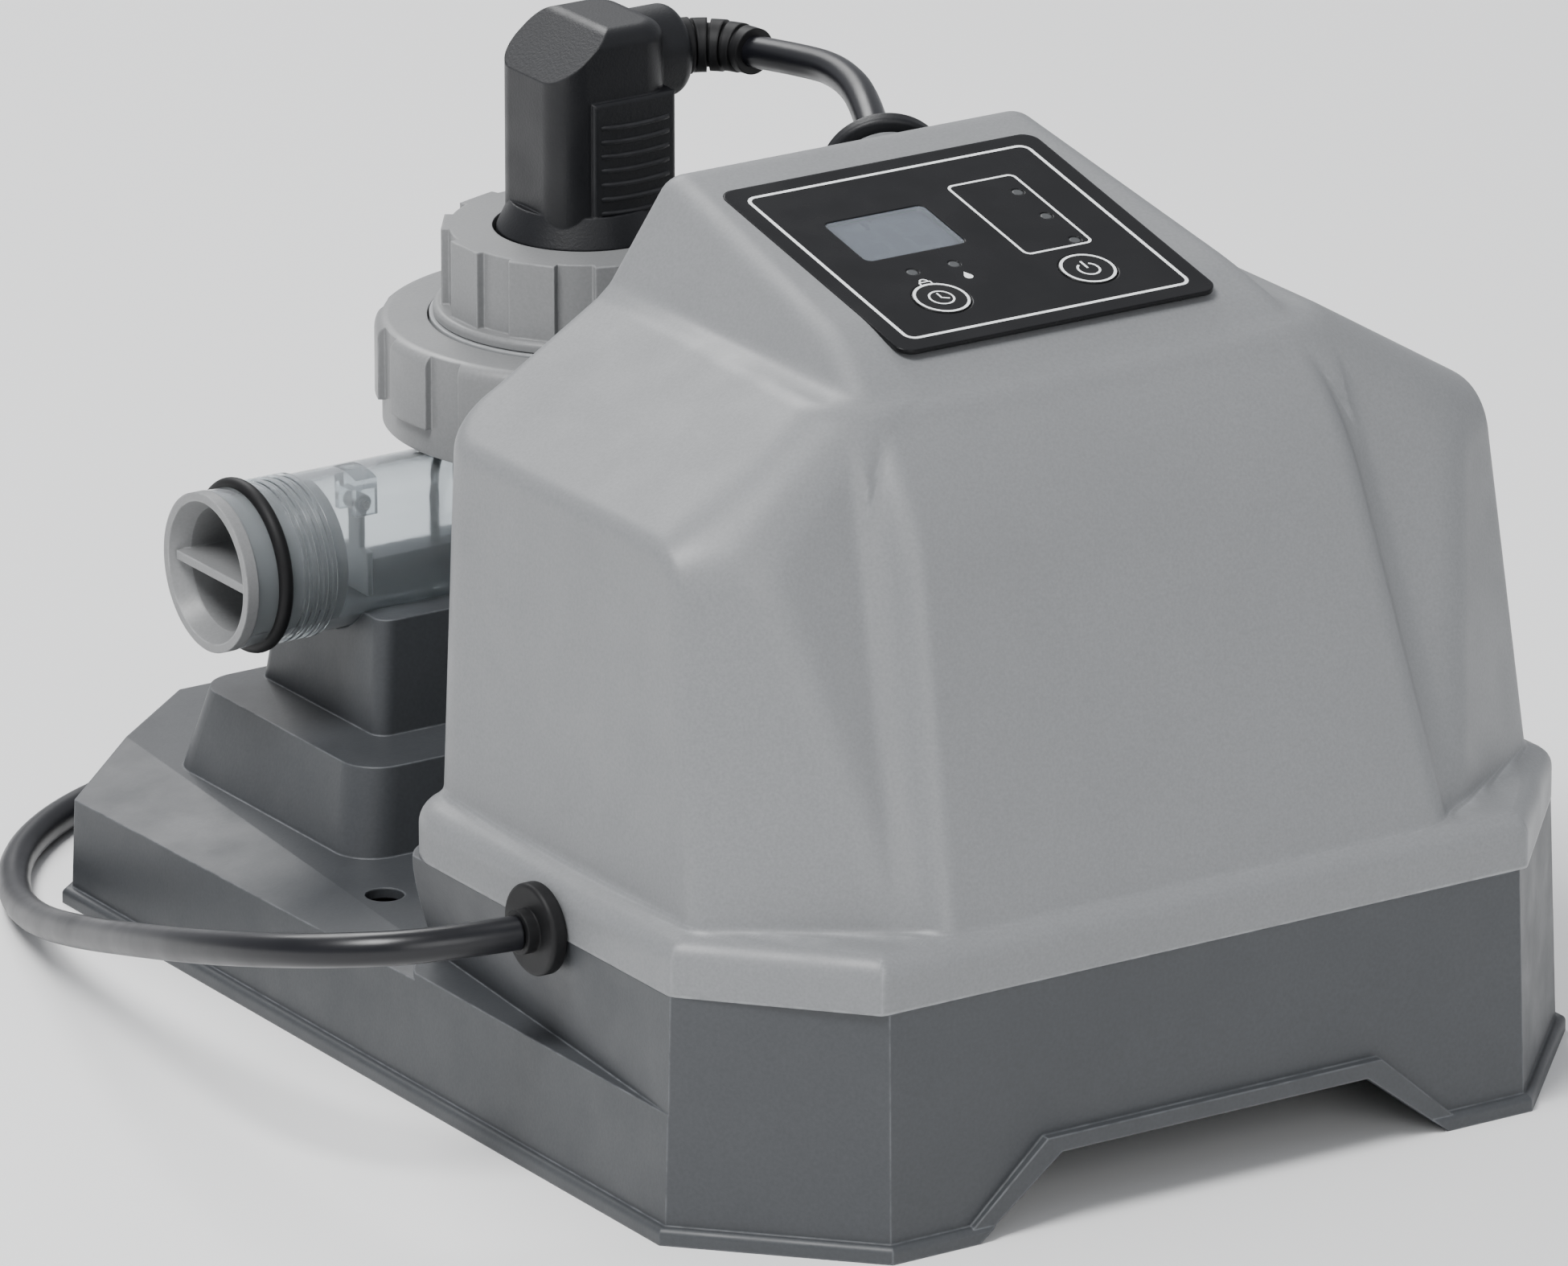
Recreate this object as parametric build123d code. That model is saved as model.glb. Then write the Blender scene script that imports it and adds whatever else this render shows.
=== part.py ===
from build123d import *
import math
import os

# Salt chlorine generator: a control unit under a moulded hood, on a base tray that also carries the
# electrolytic cell behind it. Millimetres. +X to the right, +Y to the back, +Z up. The origin is on the
# ground at the middle of the base tray.

# ---- base tray ----
TRAY_HALF_WIDTH = 128.2      # outside of the foot rim
TRAY_HALF_DEPTH = 178.5
FRONT_CORNER_X = 90.0        # where the front corner cuts begin
FRONT_CORNER_Y = -139.0
REAR_CORNER_X = 70.0
REAR_CORNER_Y = 132.0
RIM_REACH = 2.2              # how far the foot rim stands out of the wall
RIM_HEIGHT = 4.0
TRAY_DRAFT = 2.0             # degrees
TRAY_WALL = 2.6
DECK_Z = 31.0
DECK_FALL = 4.5              # how far the deck's side facet falls at the rear corner
SEAM_Z = 59.5                # where the hood meets the tray
HOOD_REAR_Y = -17.0
PLINTH_CORNER = 16.0
LEDGE_FRONT_X = 124.9        # the plinth wall's foot at the front corner
LEDGE_FOOT_X = 112.4         # and at its rear end
LEDGE_SEAM_X = 123.9         # the wall at the seam
ARCH_FOOT_HALF = 67.3        # front arch, half width at the ground
ARCH_TOP_HALF = 42.9
ARCH_HEIGHT = 17.8
STEP_HALF_WIDTH = 98.8       # the raised step that carries the cell
STEP_FRONT_Y = 42.0
STEP_REAR_Y = 133.0
STEP_TOP_Z = 52.0
STEP_LEAN = 6.0              # how far its sides lean in
STEP_CORNER = 10.0
CRADLE_HALF_WIDTH = 77.5
CRADLE_HALF_DEPTH = 28.5
CRADLE_TOP_Z = 80.0
CRADLE_LEAN = 4.0
DECK_HOLE_RADIUS = 4.75
DECK_HOLE_X = 103.0
DECK_HOLE_Y = 22.0

# ---- hood ----
HOOD_WALL = 2.4
FLANGE_TOP_Z = 73.0
FLANGE_ROUND = 6.0
PANEL_ANGLE = 12.5           # slope of the control panel, degrees
PANEL_REAR_Y = -19.4
PANEL_REAR_Z = 213.5
PANEL_REAR_HALF = 48.9       # half width of the panel at its rear edge
FRONT_FOOT_Y = -174.1        # the front face where it meets the seam
FRONT_LEAN = 17.8            # degrees from upright
FRONT_ARCH_RADIUS = 70.0
SHOULDER_TOP_Z = 187.5
SHOULDER_FOOT_Y = -168.5
SHOULDER_ARCH_RADIUS = 44.0
SHOULDER_SIDE_X = 117.6      # the side face at the seam
SHOULDER_DRAFT = 2.4         # degrees
SHOULDER_FALL = 31.0         # slope of the shoulder roof, degrees
SHOULDER_ROOF_X = 67.0       # where the roof meets the centre body
EDGE_ROUND = 6.0
SHOULDER_REAR_ROUND = 16.0
SHOULDER_ARCH_ROUND = 30.0
FLANK_NORMAL = Vector(2647, -191, 1840).normalized()    # the centre body's upper side faces
WEDGE_NORMAL = Vector(1, -0.0474, 0.1193).normalized()  # and its lower ones
WEDGE_POINT = Vector(73.4, -171.0, 72.0)
CORNER_NORMAL = Vector(0.684, -1.0, 0.1935).normalized()  # the shoulders' cut front corners
CORNER_POINT = Vector(117.0, -137.3, 71.0)
CENTRE_ROUND = 7.0

# ---- control panel ----
LABEL_HALF_WIDTH = 44.2
LABEL_LENGTH = 81.0
LABEL_FRONT = 14.2           # from the panel's rear edge to the label
LABEL_THICK = 0.8
LABEL_CORNER = 4.0
WINDOW_WIDTH = 28.0
WINDOW_LENGTH = 19.5
WINDOW_X = -14.5
WINDOW_V = 31.3              # distances down the label, from its rear edge
WINDOW_THICK = 1.7
DIGITS_WIDTH = 26.0
DIGITS_LENGTH = 18.0
KEY_RADIUS = 7.0
KEY_V = 62.0
TIMER_KEY_X = -21.3
POWER_KEY_X = 19.6
KEY_THICK = 2.4
KEY_FOOT_REACH = 0.8
KEY_FOOT_THICK = 1.2
KEY_CLEARANCE = 0.15
KEY_PROUD = 0.5
KEY_TRAVEL = 0.4
LAMP_RADIUS = 1.5
LAMP_X = 24.6
LAMP_FIRST_V = 24.2
LAMP_PITCH = 12.3
LAMP_COUNT = 3
FLOW_LAMP_X = -9.3
FLOW_LAMP_V = 48.8
LOCK_LAMP_X = -20.9
LAMPS = [(LAMP_X, LAMP_FIRST_V + i * LAMP_PITCH) for i in range(LAMP_COUNT)]
LAMPS += [(FLOW_LAMP_X, FLOW_LAMP_V), (LOCK_LAMP_X, FLOW_LAMP_V)]
DISPLAY_BOARD_WIDTH = 84.0
DISPLAY_BOARD_LENGTH = 76.0
BOARD_DEPTH = 9.5            # the display board's lower face, below the panel
BOARD_THICK = 1.6
BOARD_PEGS = [(x, v) for x in (-38, 38) for v in (-33, 33)]
BOARD_PEG_RADIUS = 1.6

# ---- electronics and screws ----
HOOD_SCREWS = [(x, y) for x in (-98, 98) for y in (-122, -42)]
HOOD_SCREW_RADIUS = 1.5
HOOD_SCREW_BITE = 12.0       # how far the hood's screws reach above the seam
POST_RADIUS = 5.5
HEAD_POCKET = 12.0
POWER_BOARD_Z = 84.0
POWER_BOARD_THICK = 1.6
BOARD_SCREWS = [(x, y) for x in (-80, 80) for y in (-108, -58)]
BOARD_SCREW_RADIUS = 1.3
BRIDGE_THICK = 3.3
OPENING_HALF_WIDTH = 88.0    # the plinth's open top
OPENING_FRONT_Y = -160.0
OPENING_REAR_Y = -40.0

# ---- electrolytic cell ----
CELL_Y = 95.0
TUBE_Z = 92.0
TUBE_RADIUS = 19.5
TUBE_WALL = 2.2
TUBE_HALF_LENGTH = 105.0
PORT_RING_THICK = 3.2
PORT_SLEEVE = 26.0
PORT_WEB = 2.2
PORT_MOUTH = 5.0             # depth of the ports' flared mouths
SEAL_RING_X = 97.5
SEAL_RING_RADIUS = 1.8
THREAD_X = 91.5
THREAD_PITCH = 2.6
THREAD_TURNS = 4
THREAD_HEIGHT = 0.7
CHAMBER_RADIUS = 39.0
CHAMBER_WALL = 2.6
CHAMBER_BOTTOM_Z = 80.3
CHAMBER_TOP_Z = 131.0
NECK_RING_GAP = 1.4            # the neck's ring, above the tube
NUT_RADIUS = 49.5
NUT_BOTTOM_Z = 113.0
NUT_TOP_Z = 139.0
NUT_HOLE_RADIUS = 38.4
NUT_LID = 4.5
RIB_COUNT = 12
RIB_REACH = 1.8
RIB_WIDTH = 16.0
RIB_BOTTOM = 7.0             # the ribs stop this far above the big nut's lower edge
HEAD_RADIUS = 43.0
HEAD_BOSS_RADIUS = 37.9
HEAD_TOP_Z = 139.6
COLLAR_RADIUS = 33.0
COLLAR_FOOT_RADIUS = 37.0
COLLAR_FOOT = 2.4
COLLAR_TOP_Z = 161.5
COLLAR_HOLE_RADIUS = 22.4
COLLAR_RIB_COUNT = 10
COLLAR_RIB_REACH = 1.5
COLLAR_RIB_WIDTH = 12.0
SPIGOT_RADIUS = 27.0         # the head's spigot that the collar turns on
SPIGOT_TOP_Z = 153.5
COLLAR_LID = 5.0
PLUG_LIP_RADIUS = 25.5       # the plug's lip, between the spigot and the collar's lid
SOCKET_FLOOR_Z = HEAD_TOP_Z + 4.0
RUN_CLEARANCE = 0.3
PLATE_COUNT = 6
PLATE_LENGTH = 56.0
PLATE_HEIGHT = 22.0
PLATE_THICK = 1.0
PLATE_PITCH = 4.0
PADDLE_X = -66.0
PADDLE_PIN_Z = TUBE_Z + 10.5
PADDLE_PIN_RADIUS = 1.0

# ---- electrode plug and its cable ----
PIN_X = (-9.5, 0.0, 9.5)
PIN_RADIUS = 2.4
PIN_HEIGHT = 8.0
PLUG_BASE_RADIUS = 21.4
PLUG_BASE_TOP_Z = 168.5
PLUG_HALF_X = 16.5
PLUG_HALF_Y = 15.5
PLUG_TOP_Z = 214.0
PLUG_CORNER = 8.0
PLUG_TOP_ROUND = 4.5
PLUG_PAD = 1.2               # the grip pad on its front face
RELIEF_X = 25.5
RELIEF_Z = 202.0
RELIEF_BEND = 15.0
RELIEF_TURN = 85.0
RELIEF_RADIUS = 7.0
RELIEF_CORE = 5.4
RELIEF_RINGS = 5
CABLE_DIAMETER = 8.0
GLAND_X = 22.0
GLAND_Y = -3.0
GLAND_Z = 199.0
GLAND_TILT = 18.0            # its axis: degrees above level, and turned towards the plug
GLAND_TURN = 24.0
GLAND_NOSE = 9.0
GLAND_RADIUS = 15.0
GLAND_THICK = 4.0
GLAND_BOSS_RADIUS = 12.5

# ---- power cord ----
CORD_DIAMETER = 8.2
GROMMET_Y = -83.6
GROMMET_Z = 60.0
GROMMET_RADIUS = 11.0
GROMMET_THICK = 4.2
GROMMET_NECK_RADIUS = 7.5
COIL_X = 137.0
COIL_Y = 246.0
COIL_MID_RADIUS = 45.0
COIL_LAYERS = 3
TIE_WIDTH = 12.0
TIE_THICK = 1.4
PLUG_BODY_X = 167.0
PLUG_BODY_RADIUS = 17.0
PLUG_BODY_LENGTH = 34.0
PLUG_TAIL_LENGTH = 24.0
MAINS_PIN_LENGTH = 19.0
MAINS_PIN_SPREAD = 9.5

CORD_ROUTE = [
    (-131.6, -83.6, 60.0), (-153.5, -81.0, 60.2), (-171.0, -67.5, 58.5), (-178.5, -46.0, 53.5),
    (-178.5, -16.0, 45.0), (-172.0, 22.0, 33.5), (-163.0, 64.0, 20.5), (-153.0, 102.0, 9.8),
    (-142.0, 132.0, 4.3), (-127.0, 157.0, 4.3), (-103.0, 177.0, 4.3), (-70.0, 190.0, 4.3),
    (-28.0, 196.0, 4.3), (16.0, 194.0, 4.3), (56.0, 188.5, 4.3), (88.0, 188.2, 4.3), (112.0, 192.0, 4.3),
]
CABLE_ROUTE = [
    (40.4, 81.3, 202.0), (42.0, 64.0, 204.2), (41.5, 45.0, 206.3), (34.5, 22.5, 205.6), (25.1, 4.0, 201.5),
]


# ---- helpers ----
def polygon(points, z=0.0):
    """A flat face from its corners, at height z."""
    return Pos(0, 0, z) * make_face(Polyline(*points, close=True))


def both_sides(points):
    """Corners of a shape that is the same left and right, from those on the right."""
    return points + [(-x, y) for x, y in reversed(points)]


def side_face(points):
    """A face in the YZ plane from (y, z) corners."""
    return make_face(Polyline(*[(0, y, z) for y, z in points], close=True))


def disc(x, y, z, radius, height):
    """An upright cylinder that stands on height z."""
    return Pos(x, y, z + height / 2) * Cylinder(radius, height)


def rod_x(x, y, z, radius, length):
    """A cylinder along X, centred on x."""
    return Pos(x, y, z) * Rot(0, 90, 0) * Cylinder(radius, length)


def block(x0, x1, y0, y1, z0, z1):
    """A box between two corners."""
    centre = Pos((x0 + x1) / 2, (y0 + y1) / 2, (z0 + z1) / 2)
    return centre * Box(x1 - x0, y1 - y0, z1 - z0)


def keep_below(shape, origin, normal):
    """The part of a shape on the far side of a plane from its normal."""
    return split(shape, bisect_by=Plane(origin=origin, z_dir=normal), keep=Keep.BOTTOM)


def trim_both(shape, origin, normal):
    """keep_below, on the right side and again mirrored on the left."""
    x, y, z = origin
    nx, ny, nz = normal
    return keep_below(keep_below(shape, origin, normal), (-x, y, z), (-nx, ny, nz))


# ---- base tray ----
def tray_plan(inset):
    """Corners of the tray's outline, moved in by inset."""
    cut = inset * math.tan(math.radians(22.5))
    side = TRAY_HALF_WIDTH - inset
    depth = TRAY_HALF_DEPTH - inset
    return both_sides([
        (FRONT_CORNER_X - cut, -depth), (side, FRONT_CORNER_Y + cut),
        (side, REAR_CORNER_Y - cut), (REAR_CORNER_X - cut, depth),
    ])


def tray_block(inset, height):
    return extrude(polygon(tray_plan(RIM_REACH + inset)), height, taper=TRAY_DRAFT)


def plinth_clip(inset):
    """Everything in front of the hood's rear wall, with rounded rear corners."""
    half = TRAY_HALF_WIDTH - RIM_REACH - inset
    front = -TRAY_HALF_DEPTH
    rear = HOOD_REAR_Y - inset
    clip = block(-half, half, front, rear, -1, PANEL_REAR_Z)
    rear_edges = clip.edges().filter_by(Axis.Z).group_by(Axis.Y)[-1]
    return fillet(rear_edges, PLINTH_CORNER - inset)


def deck(inset):
    """The low part of the tray, with a facet along each side that falls to the rear corner."""
    top = DECK_Z - inset
    shape = tray_block(inset, top)
    side = TRAY_HALF_WIDTH - RIM_REACH - inset
    front = Vector(side, FRONT_CORNER_Y, top)
    rear_in = Vector(side - 28.0, REAR_CORNER_Y + 16.0, top)
    rear_out = Vector(side, REAR_CORNER_Y - 9.0, top - DECK_FALL)
    normal = (rear_in - front).cross(rear_out - front).normalized()
    if normal.Z < 0:
        normal = -normal
    return trim_both(shape, tuple(front), tuple(normal))


def stepped(half_x, y0, y1, lean, corner, z0, z1):
    """A block with leaning sides and rounded corners."""
    mid = (y0 + y1) / 2
    low = Pos(0, mid, z0) * RectangleRounded(2 * half_x, y1 - y0, corner)
    high = Pos(0, mid, z1) * RectangleRounded(2 * (half_x - lean), y1 - y0 - 2 * lean, corner)
    return loft([low, high])


def step_block(inset):
    bottom = DECK_Z - TRAY_WALL - 2.0
    return stepped(STEP_HALF_WIDTH - inset, STEP_FRONT_Y + inset, STEP_REAR_Y - inset,
                   STEP_LEAN, STEP_CORNER - inset, bottom, STEP_TOP_Z - inset)


def cradle_block(inset):
    bottom = STEP_TOP_Z - TRAY_WALL - 2.0
    return stepped(CRADLE_HALF_WIDTH - inset, CELL_Y - CRADLE_HALF_DEPTH + inset,
                   CELL_Y + CRADLE_HALF_DEPTH - inset, CRADLE_LEAN, 4.0 - inset, bottom,
                   CRADLE_TOP_Z - inset)


def ledge_cut(side, inset):
    """The hollow over the side ledge: nothing at the front corner, and deepest at the plinth's rear."""
    foot = side * (LEDGE_FOOT_X - inset)
    front_foot = side * (LEDGE_FRONT_X - inset)
    seam = side * (LEDGE_SEAM_X - inset)
    outer = side * (TRAY_HALF_WIDTH + 10)
    bottom = DECK_Z - inset
    sections = []
    for y, low in ((FRONT_CORNER_Y, front_foot), (HOOD_REAR_Y + 6, foot)):
        corners = [(low, bottom), (seam, SEAM_Z), (outer, SEAM_Z), (outer, bottom)]
        sections.append(make_face(Polyline(*[(x, y, z) for x, z in corners], close=True)))
    return loft(sections, ruled=True)


def tray_mass(inset):
    plinth = tray_block(inset, SEAM_Z - inset) & plinth_clip(inset)
    plinth = plinth - ledge_cut(1, inset) - ledge_cut(-1, inset)
    return plinth + deck(inset) + step_block(inset) + cradle_block(inset)


def saddle(extra):
    return rod_x(0, CELL_Y, TUBE_Z, TUBE_RADIUS + extra, 2 * CRADLE_HALF_WIDTH + 4)


def arch_cut(grow, y0, y1):
    """The front arch, grown outwards by grow."""
    points = both_sides([(ARCH_FOOT_HALF + 1.4 * grow, -1.0), (ARCH_TOP_HALF + grow, ARCH_HEIGHT + grow)])
    face = make_face(Polyline(*[(x, y0, z) for x, z in points], close=True))
    return extrude(face, y1 - y0, dir=(0, 1, 0))


def foot_rim():
    """The rounded foot along the tray's lower edge, with a lip round the arch."""
    rim = extrude(polygon(tray_plan(0)), RIM_HEIGHT)
    rim = fillet(rim.faces().sort_by(Axis.Z)[-1].edges(), RIM_REACH - 0.6)
    front = -TRAY_HALF_DEPTH
    lip = arch_cut(RIM_HEIGHT, front + 0.6, front + RIM_REACH + TRAY_WALL) & block(
        -TRAY_HALF_WIDTH, TRAY_HALF_WIDTH, front, 0, 0, SEAM_Z)
    return rim + lip


def screw_posts():
    """Posts inside the tray that the hood's screws pass through."""
    return [disc(x, y, 0.8, POST_RADIUS, SEAM_Z - 0.8) for x, y in HOOD_SCREWS]


def base_tray():
    tray = tray_mass(0) + foot_rim() - saddle(RUN_CLEARANCE)
    cavity = tray_mass(TRAY_WALL) - saddle(RUN_CLEARANCE + TRAY_WALL)
    well = extrude(polygon(tray_plan(RIM_REACH + TRAY_WALL), -1.0), RIM_HEIGHT + 2.0)
    tray = tray - cavity - well - plinth_top_opening()
    tray = tray - arch_cut(0, -TRAY_HALF_DEPTH - 1, -TRAY_HALF_DEPTH + 12)
    tray = tray + screw_posts()
    for x, y in HOOD_SCREWS:
        tray = tray - disc(x, y, 0, HOOD_SCREW_RADIUS + 0.4, SEAM_Z + 1) - disc(x, y, 0, 3.9, HEAD_POCKET)
    for side in (-1, 1):
        tray = tray - disc(side * DECK_HOLE_X, DECK_HOLE_Y, DECK_Z - 12, DECK_HOLE_RADIUS, 20)
    return tray - grommet_bore()


def plinth_top_opening():
    """The control unit's wires pass down through the plinth's open top."""
    half = OPENING_HALF_WIDTH
    return block(-half, half, OPENING_FRONT_Y, OPENING_REAR_Y, SEAM_Z - TRAY_WALL - 1, SEAM_Z + 1)


def grommet_bore():
    outer = TRAY_HALF_WIDTH
    return rod_x(-outer + 8, GROMMET_Y, GROMMET_Z, GROMMET_NECK_RADIUS + 0.1, 28)


# ---- hood ----
def arched_profile(foot_y, lean, top, radius, inset):
    """Side view of a body: an upright rear, a top line and a leaning front joined by one arc."""
    top_y, top_z, slope = top
    rear_y = HOOD_REAR_Y - inset
    lean_shift = math.tan(math.radians(lean))
    rise = math.tan(math.radians(slope))
    front_y = foot_y + inset / math.cos(math.radians(lean))
    roof_z = top_z - inset / math.cos(math.radians(slope))
    corner_z = (roof_z + rise * (front_y - top_y - SEAM_Z * lean_shift)) / (1 - rise * lean_shift)
    corner_y = front_y + lean_shift * (corner_z - SEAM_Z)
    roof_rear_z = roof_z + rise * (rear_y - top_y)
    bottom = SEAM_Z - (1.0 if inset else 0.0)
    bottom_y = front_y + lean_shift * (bottom - SEAM_Z)
    face = side_face([(rear_y, bottom), (rear_y, roof_rear_z), (corner_y, corner_z), (bottom_y, bottom)])
    arc_corner = face.vertices().sort_by(lambda v: abs(v.Y - corner_y) + abs(v.Z - corner_z))[0]
    return fillet(arc_corner, radius - inset)


def through_width(face):
    return extrude(face, SHOULDER_SIDE_X + 6, dir=(1, 0, 0), both=True)


def centre_body(inset):
    """The control unit's middle, with the sloping panel and the arched front."""
    top = (PANEL_REAR_Y, PANEL_REAR_Z, PANEL_ANGLE)
    shape = through_width(arched_profile(FRONT_FOOT_Y, FRONT_LEAN, top, FRONT_ARCH_RADIUS, inset))
    flank_at = Vector(PANEL_REAR_HALF, PANEL_REAR_Y, PANEL_REAR_Z) - FLANK_NORMAL * inset
    shape = trim_both(shape, tuple(flank_at), tuple(FLANK_NORMAL))
    wedge_at = WEDGE_POINT - WEDGE_NORMAL * inset
    return trim_both(shape, tuple(wedge_at), tuple(WEDGE_NORMAL))


def shoulder_body(inset):
    """The wider body behind and beside the centre: sloping roofs and cut front corners."""
    top = (HOOD_REAR_Y, SHOULDER_TOP_Z, 1.2)
    shape = through_width(arched_profile(SHOULDER_FOOT_Y, 19.4, top, SHOULDER_ARCH_RADIUS, inset))
    draft = math.radians(SHOULDER_DRAFT)
    side = Vector(math.cos(draft), 0, math.sin(draft))
    side_at = Vector(SHOULDER_SIDE_X, 0, SEAM_Z) - side * inset
    shape = trim_both(shape, tuple(side_at), tuple(side))
    fall = math.radians(SHOULDER_FALL)
    roof = Vector(math.sin(fall), 0, math.cos(fall))
    roof_at = Vector(SHOULDER_ROOF_X, 0, SHOULDER_TOP_Z) - roof * inset
    shape = trim_both(shape, tuple(roof_at), tuple(roof))
    corner_at = CORNER_POINT - CORNER_NORMAL * inset
    return trim_both(shape, tuple(corner_at), tuple(CORNER_NORMAL))


def soft_centre():
    """The centre body with its edges rounded above the seam."""
    shape = centre_body(0)
    return fillet(shape.edges().filter_by(lambda e: e.center().Z > SEAM_Z + 2), CENTRE_ROUND)


def soft_shoulders(inset):
    """The shoulders, rounded most at the rear corners and where the roofs turn down to the front."""
    shape = shoulder_body(inset)
    shape = fillet(shape.edges().filter_by(rear_corner), SHOULDER_REAR_ROUND - inset)
    shape = fillet(shape.edges().filter_by(roof_bend), SHOULDER_ARCH_ROUND - inset)
    return fillet(shape.edges().filter_by(outer_edge), EDGE_ROUND - inset)


def rear_corner(edge):
    """Whether an edge is a shoulder's upright rear corner."""
    middle = edge.center()
    return abs(middle.X) > 108 and middle.Y > HOOD_REAR_Y - HOOD_WALL - 2 and middle.Z > SEAM_Z + 3


def roof_bend(edge):
    """Whether an edge is where a shoulder's roof meets its front."""
    middle = edge.center()
    return 80 < abs(middle.X) < 112 and middle.Y < -100 and middle.Z > SEAM_Z + 30


def outer_edge(edge):
    """Whether an edge bounds a side face, away from the seam."""
    middle = edge.center()
    on_side = abs(middle.X) > 108
    return on_side and middle.Z > SEAM_Z + 5


def flange_plan(inset):
    """The hood's outline at the seam: cut front corners and rounded rear corners."""
    edge = RIM_REACH + SEAM_Z * math.tan(math.radians(TRAY_DRAFT)) + inset
    front = tray_plan(edge)[:2]
    side = TRAY_HALF_WIDTH - edge
    outline = polygon(both_sides(front + [(side, HOOD_REAR_Y - inset)]), SEAM_Z)
    return fillet(outline.vertices().group_by(Axis.Y)[-1], PLINTH_CORNER - inset)


def flange():
    """The band round the hood's foot, flush with the tray."""
    band = extrude(flange_plan(0), FLANGE_TOP_Z - SEAM_Z)
    return fillet(band.faces().sort_by(Axis.Z)[-1].edges(), FLANGE_ROUND)


def flange_inside():
    return Pos(0, 0, -1) * extrude(flange_plan(HOOD_WALL), FLANGE_TOP_Z - HOOD_WALL - SEAM_Z + 1)


def panel_plane(x, v, depth=0.0):
    """A frame on the control panel: x across, v down from its rear edge, depth below its face."""
    slope = math.radians(PANEL_ANGLE)
    along = Vector(0, -math.cos(slope), -math.sin(slope))
    up = Vector(0, -math.sin(slope), math.cos(slope))
    origin = Vector(x, PANEL_REAR_Y, PANEL_REAR_Z) + along * v - up * depth
    return Plane(origin=tuple(origin), x_dir=(1, 0, 0), z_dir=tuple(up)).location


def on_panel(x, v, depth, sketch, height):
    """A sketch extruded up out of the control panel, from depth below its face."""
    return extrude(panel_plane(x, v, depth) * sketch, height)


def label_sketch(grow):
    return RectangleRounded(2 * (LABEL_HALF_WIDTH + grow), LABEL_LENGTH + 2 * grow, LABEL_CORNER + grow)


LABEL_MID_V = LABEL_FRONT + LABEL_LENGTH / 2


def gland_place(offset):
    """A frame on the rear gland's axis, offset outwards along it."""
    tilt = math.radians(GLAND_TILT)
    turn = math.radians(GLAND_TURN)
    axis = Vector(math.sin(turn) * math.cos(tilt), math.cos(turn) * math.cos(tilt), math.sin(tilt))
    origin = Vector(GLAND_X, GLAND_Y, GLAND_Z) + axis * offset
    return Plane(origin=tuple(origin), x_dir=(1, 0, 0), z_dir=tuple(axis)).location


def gland_rod(start, end, radius):
    return gland_place((start + end) / 2) * Cylinder(radius, end - start)


def hood():
    shell = soft_centre() + soft_shoulders(0) + flange()
    boss = gland_rod(-32, -GLAND_THICK, GLAND_BOSS_RADIUS) & block(-90, 90, HOOD_REAR_Y - 8, 40, 150, 240)
    shell = shell + boss
    shell = shell - centre_body(HOOD_WALL) - soft_shoulders(HOOD_WALL) - flange_inside()
    shell = shell - gland_rod(-40, 1, CABLE_DIAMETER / 2 + 2.1)
    shell = shell - on_panel(0, LABEL_MID_V, LABEL_THICK, label_sketch(0.2), 4)
    shell = shell - on_panel(WINDOW_X, LABEL_FRONT + WINDOW_V, 8, Rectangle(WINDOW_WIDTH + 1, WINDOW_LENGTH + 1), 12)
    for x in (TIMER_KEY_X, POWER_KEY_X):
        shell = shell - on_panel(x, LABEL_FRONT + KEY_V, 8, Circle(KEY_RADIUS + 1.2), 12)
    for x, v in LAMPS:
        shell = shell - on_panel(x, LABEL_FRONT + v, 8, Circle(LAMP_RADIUS + 0.4), 12)
    shell = shell - grommet_bore()
    for x, y in HOOD_SCREWS:
        shell = shell + hood_post(x, y) - disc(x, y, SEAM_Z - 1, HOOD_SCREW_RADIUS, 20)
    return shell + board_pegs()


def board_pegs():
    """Stepped pegs under the panel that hold the display board."""
    out = []
    seat = BOARD_DEPTH - BOARD_THICK
    for x, v in BOARD_PEGS:
        out.append(on_panel(x, LABEL_MID_V + v, seat, Circle(3.2), seat - 1.5))
        out.append(on_panel(x, LABEL_MID_V + v, BOARD_DEPTH + 0.8, Circle(BOARD_PEG_RADIUS), 3))
    return out


def hood_post(x, y):
    """A screw post with a gusset that joins it to the side wall."""
    side = math.copysign(1, x)
    wall = side * (SHOULDER_SIDE_X - HOOD_WALL)
    gusset = block(min(x, wall), max(x, wall), y - 1, y + 1, FLANGE_TOP_Z - 6, FLANGE_TOP_Z + 12)
    return disc(x, y, SEAM_Z + 0.05, 4.6, 26) + gusset


# ---- control panel ----
def control_label():
    """The printed overlay: holes for the display window and the two keys."""
    label = on_panel(0, LABEL_MID_V, LABEL_THICK, label_sketch(0), LABEL_THICK + 0.3)
    window = RectangleRounded(WINDOW_WIDTH, WINDOW_LENGTH, 2.0)
    label = label - on_panel(WINDOW_X, LABEL_FRONT + WINDOW_V, 3, window, 6)
    for x in (TIMER_KEY_X, POWER_KEY_X):
        label = label - on_panel(x, LABEL_FRONT + KEY_V, 3, Circle(KEY_RADIUS + KEY_CLEARANCE), 6)
    for x, v in LAMPS:
        label = label - on_panel(x, LABEL_FRONT + v, 3, Circle(LAMP_RADIUS), 6)
    return label


def display_window():
    """The clear window over the digits, set in the label's opening."""
    sketch = RectangleRounded(WINDOW_WIDTH - 0.1, WINDOW_LENGTH - 0.1, 1.95)
    return on_panel(WINDOW_X, LABEL_FRONT + WINDOW_V, WINDOW_THICK - 0.1, sketch, WINDOW_THICK)


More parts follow.
